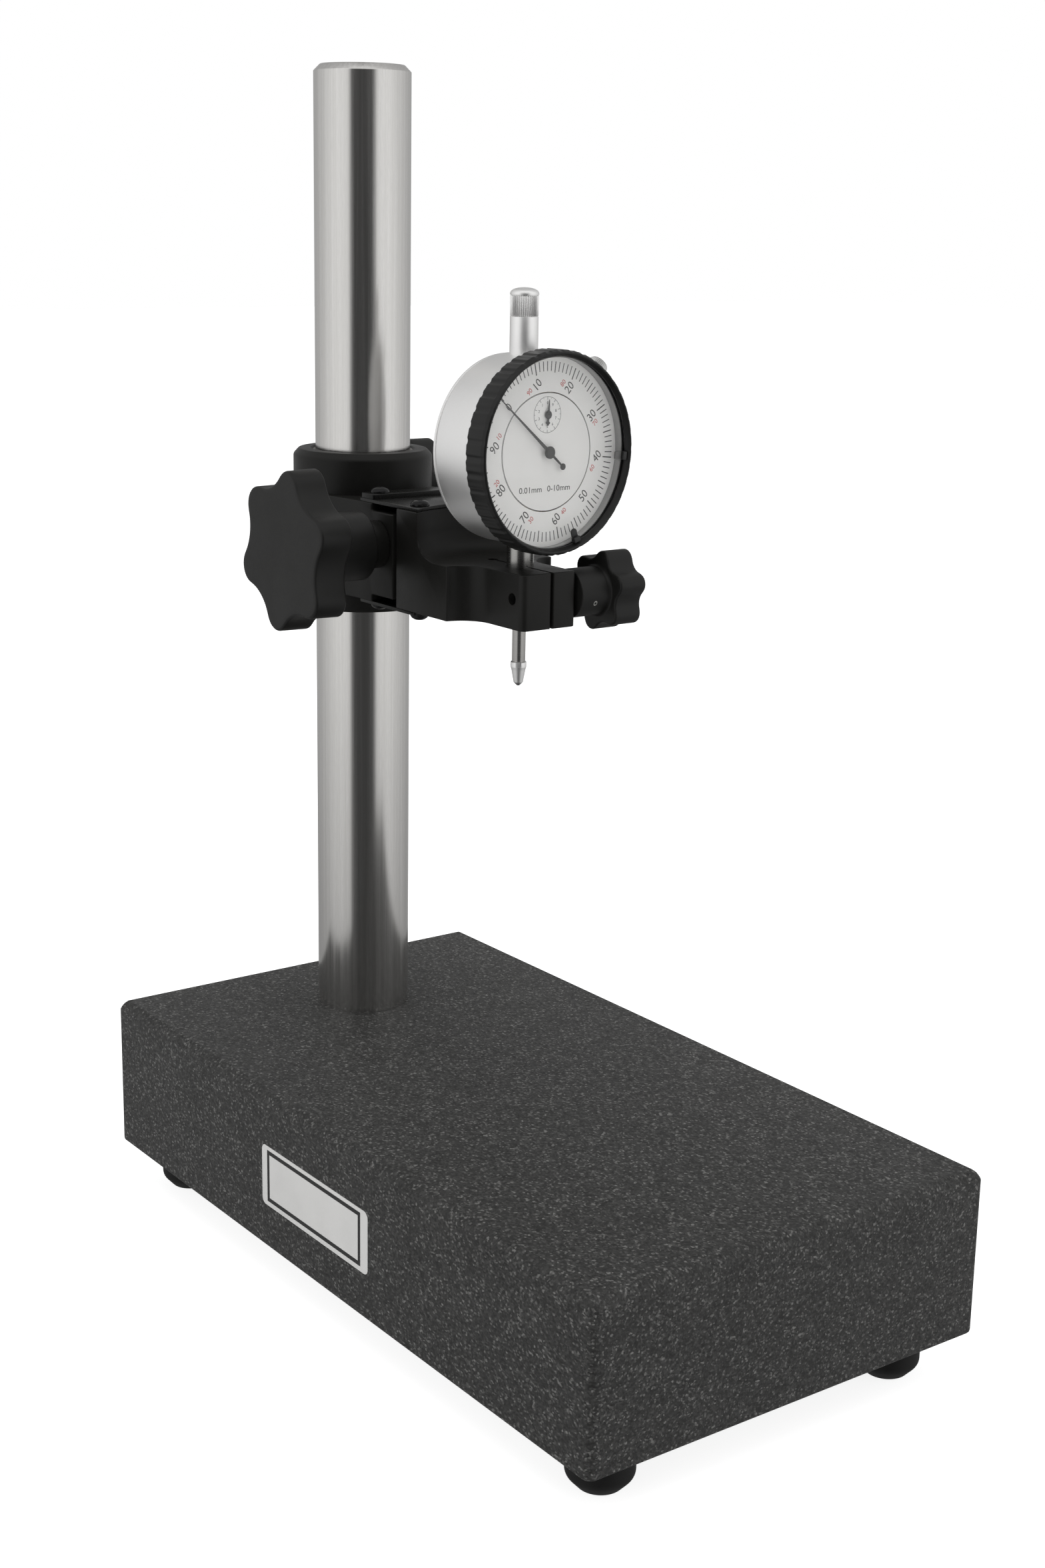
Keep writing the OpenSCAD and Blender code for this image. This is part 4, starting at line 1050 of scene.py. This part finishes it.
def build_plunger():
    bm = new_bm()
    lathe(bm, rnd([(1.25, -62), (2.0, -62), (2.0, 31.0), (1.7, 31.3), (0, 31.3), (0, -57.8), (1.25, -57.8)], [0, 0.15, 0.2, 0.1, 0, 0, 0], 2), GAUGE, 64)
    # rack teeth along the flat
    cuts = []
    c = new_bm()
    x = [(1.24, -3.7)]
    z = -3.7
    pitch = 10.0 / 16
    pts = [(4.5, -3.76)]
    zz = -3.76
    pts.append((1.24, zz))
    while zz + pitch < 11.2:
        pts += [(1.24, zz + pitch * 0.30), (0.86, zz + pitch * 0.42), (0.86, zz + pitch * 0.72), (1.24, zz + pitch * 0.84)]
        zz += pitch
    pts += [(1.24, 11.24), (4.5, 11.24)]
    prism(c, list(reversed(pts)) if False else pts[::-1], -4, 4, GAUGE @ R(90, "X"))
    cuts.append(c)
    h = new_bm()
    cyl(h, 0.8, -4, -1, GAUGE @ T(0, 0, -10) @ ALONG_X, 24)
    cuts.append(h)
    bm = carve(bm, cuts)
    piece("plunger_rod", bm, "plunger", M_ROD, ["plunger"], 30)
    # conical contact point with two flats for a spanner
    bm = new_bm()
    lathe(bm, rnd([(0, -68.75), (0.95, -68.75), (1.4, -68.2), (2.1, -64.4), (2.34, -63.6), (2.34, -62.15), (2.2, -62.0), (1.22, -62.0), (1.22, -58.2), (0, -58.2)],
                  [0, 0.05, 0.2, 0.4, 0.15, 0.1, 0.1, 0, 0.2, 0], 3, closed=False), GAUGE, 72, closed=False)
    cuts = []
    ball = new_bm()
    bmesh.ops.create_icosphere(ball, subdivisions=4, radius=0.9, matrix=GAUGE @ T(0, 0, -68.4))
    cuts.append(ball)
    for s in (0, 1):
        c = new_bm()
        prism(c, [(2.22, -3), (5, -3), (5, 3), (2.22, 3)], -63.5, -61.8, GAUGE @ R(-42 + 180 * s + 90, "Z"))
        cuts.append(c)
    bm = carve(bm, cuts)
    piece("contact_tip", bm, "plunger", M_CHROME, ["contact_point"], 30)
    bm = new_bm()
    bmesh.ops.create_icosphere(bm, subdivisions=4, radius=0.899, matrix=GAUGE @ T(0, 0, -68.4))
    piece("contact_tip_ball", bm, "plunger", M_BALL, ["contact_ball"], 30)


build_granite()
build_feet()
build_label()
build_column()
build_bush()
build_clamp()
leaf("leaf_top", 236.4, True, "top_leaf")
leaf("leaf_bottom", 205.4, False, "bottom_leaf")
leaf_screw_set("leaf_screws_rear", 55.2, "clamp", "leaf_screws_clamp", 1.5)
leaf_screw_set("leaf_screws_front", 33.2, "arm", "leaf_screws_arm")
build_knobs()
build_wedge()
build_arm()
build_gauge_case()
build_bezel()
build_dials()
build_pointers()
build_markers()
build_bezel_screw()
build_plunger()

# CAD nodes that stay as they are get a finished material
for node, mt in {"movement_plate": M_BRASS, "front_bridge": M_BRASS, "rear_bridge": M_BRASS, "guide_rail": M_ZINC, "spring_post": M_ZINC,
                 "return_spring": M_POLISH, "guide_pin": M_ZINC, "rack_arbor": M_POLISH, "counter_arbor": M_BRASS, "center_arbor": M_POLISH,
                 "hairspring": M_BLUE}.items():
    o = nodes[node]
    if not o.material_slots:
        o.data.materials.append(mt)
    for s in o.material_slots:
        s.material = mt

# ----------------------------------------------------------- floor and light
fl = new_bm()
stack(fl, [([(-6, -6), (6, -6), (6, 6), (-6, 6)], -0.02), ([(-6, -6), (6, -6), (6, 6), (-6, 6)], -0.0002)])
me = bpy.data.meshes.new("floor")
bmesh.ops.recalc_face_normals(fl, faces=fl.faces)
fl.to_mesh(me)
fl.free()
floor = bpy.data.objects.new("floor", me)
scene.collection.objects.link(floor)
f = Mat("floor_pale")
f.set(Base_Color=f.ramp(f.noise(6, 3, 0.5), [(0.3, (0.43, 0.43, 0.43)), (0.7, (0.45, 0.45, 0.45))]), Roughness=0.75, Specular_IOR_Level=0.2,
      Emission_Color=(1, 1, 1, 1), Emission_Strength=0.86)
me.materials.append(f.m)
floor.visible_glossy = False


def area(name, at, to, size, power, color=(1, 1, 1)):
    li = bpy.data.lights.new(name, "AREA")
    li.shape = "RECTANGLE"
    li.size, li.size_y = size
    li.energy = power
    li.color = color
    o = bpy.data.objects.new(name, li)
    scene.collection.objects.link(o)
    o.location = at
    d = Vector(to) - Vector(at)
    o.rotation_mode = "QUATERNION"
    o.rotation_quaternion = d.to_track_quat("-Z", "Y")
    return o


area("top", (0.1, 0.1, 1.9), (0, 0, 0.1), (2.2, 2.2), 26).visible_glossy = False

world = bpy.data.worlds.new("studio")
scene.world = world
world.use_nodes = True
wt = world.node_tree
wt.nodes.clear()


def wn(kind, ins=None, **props):
    n = wt.nodes.new("ShaderNode" + kind)
    for k, v in props.items():
        setattr(n, k, v)
    for k, v in (ins or {}).items():
        if isinstance(v, bpy.types.NodeSocket):
            wt.links.new(v, n.inputs[k])
        else:
            n.inputs[k].default_value = v
    return n


AZ = math.radians(-31.6)
gen = wn("TexCoord").outputs["Generated"]
sep = wn("SeparateXYZ", {0: gen})
# how far a direction lies from the dark side of the room, where the camera stands
flat = wn("Vector" + "Math", {0: gen, 1: (1, 1, 0)}, operation="MULTIPLY")
unit = wn("VectorMath", {0: flat.outputs[0]}, operation="NORMALIZE")
dot = wn("VectorMath", {0: unit.outputs[0], 1: (math.sin(AZ), -math.cos(AZ), 0)}, operation="DOT_PRODUCT")
side = wn("MapRange", {"Value": dot.outputs["Value"], "From Min": math.cos(math.radians(26.0)), "From Max": math.cos(math.radians(34.0)), "To Min": 0.0, "To Max": 1.0},
          interpolation_type="SMOOTHSTEP")
high = wn("MapRange", {"Value": sep.outputs["Z"], "From Min": 0.42, "From Max": 0.62, "To Min": 0.0, "To Max": 1.0}, interpolation_type="SMOOTHSTEP")
lit = wn("Math", {0: side.outputs["Result"], 1: high.outputs["Result"]}, operation="MAXIMUM")
bright = wn("MapRange", {"Value": dot.outputs["Value"], "From Min": -1.0, "From Max": 0.35, "To Min": 0.42, "To Max": 0.97})
low = wn("MapRange", {"Value": sep.outputs["Z"], "From Min": -0.5, "From Max": -0.12, "To Min": 0.5, "To Max": 1.0}, interpolation_type="SMOOTHSTEP")
bright = wn("Math", {0: bright.outputs["Result"], 1: low.outputs["Result"]}, operation="MULTIPLY")
room = wn("Mix", data_type="FLOAT")
wt.links.new(lit.outputs[0], room.inputs[0])
room.inputs[2].default_value = 0.06
wt.links.new(bright.outputs[0], room.inputs[3])
bg1 = wn("Background", {"Color": (1, 1, 1, 1)})
wt.links.new(room.outputs[0], bg1.inputs["Strength"])
bg2 = wn("Background", {"Color": (1, 1, 1, 1), "Strength": 1.0})
lp = wn("LightPath")
mixs = wn("MixShader")
wt.links.new(lp.outputs["Is Camera Ray"], mixs.inputs[0])
wt.links.new(bg1.outputs[0], mixs.inputs[1])
wt.links.new(bg2.outputs[0], mixs.inputs[2])
wo = wn("OutputWorld")
wt.links.new(mixs.outputs[0], wo.inputs[0])

scene.view_settings.view_transform = "Standard"
scene.view_settings.look = "None"

# -------------------------------------------------------------------- camera
cam = bpy.data.cameras.new("camera")
cam.lens = 51.1814
cam.sensor_width = 36.0
cam.clip_start = 0.01
cam.clip_end = 50
co = bpy.data.objects.new("camera", cam)
scene.collection.objects.link(co)
scene.camera = co
az, pi_, ro = math.radians(-36.3792), math.radians(14.4392), math.radians(1.0005)
back = Vector((math.sin(az) * math.cos(pi_), -math.cos(az) * math.cos(pi_), math.sin(pi_)))
zv = -back
right = zv.cross(Vector((0, 0, 1))).normalized()
up = right.cross(zv)
r2 = math.cos(ro) * right + math.sin(ro) * up
u2 = -math.sin(ro) * right + math.cos(ro) * up
mat = Matrix((r2, u2, back)).transposed().to_4x4()
mat.translation = Vector((-0.380265, -0.518411, 0.322933))
co.matrix_world = mat
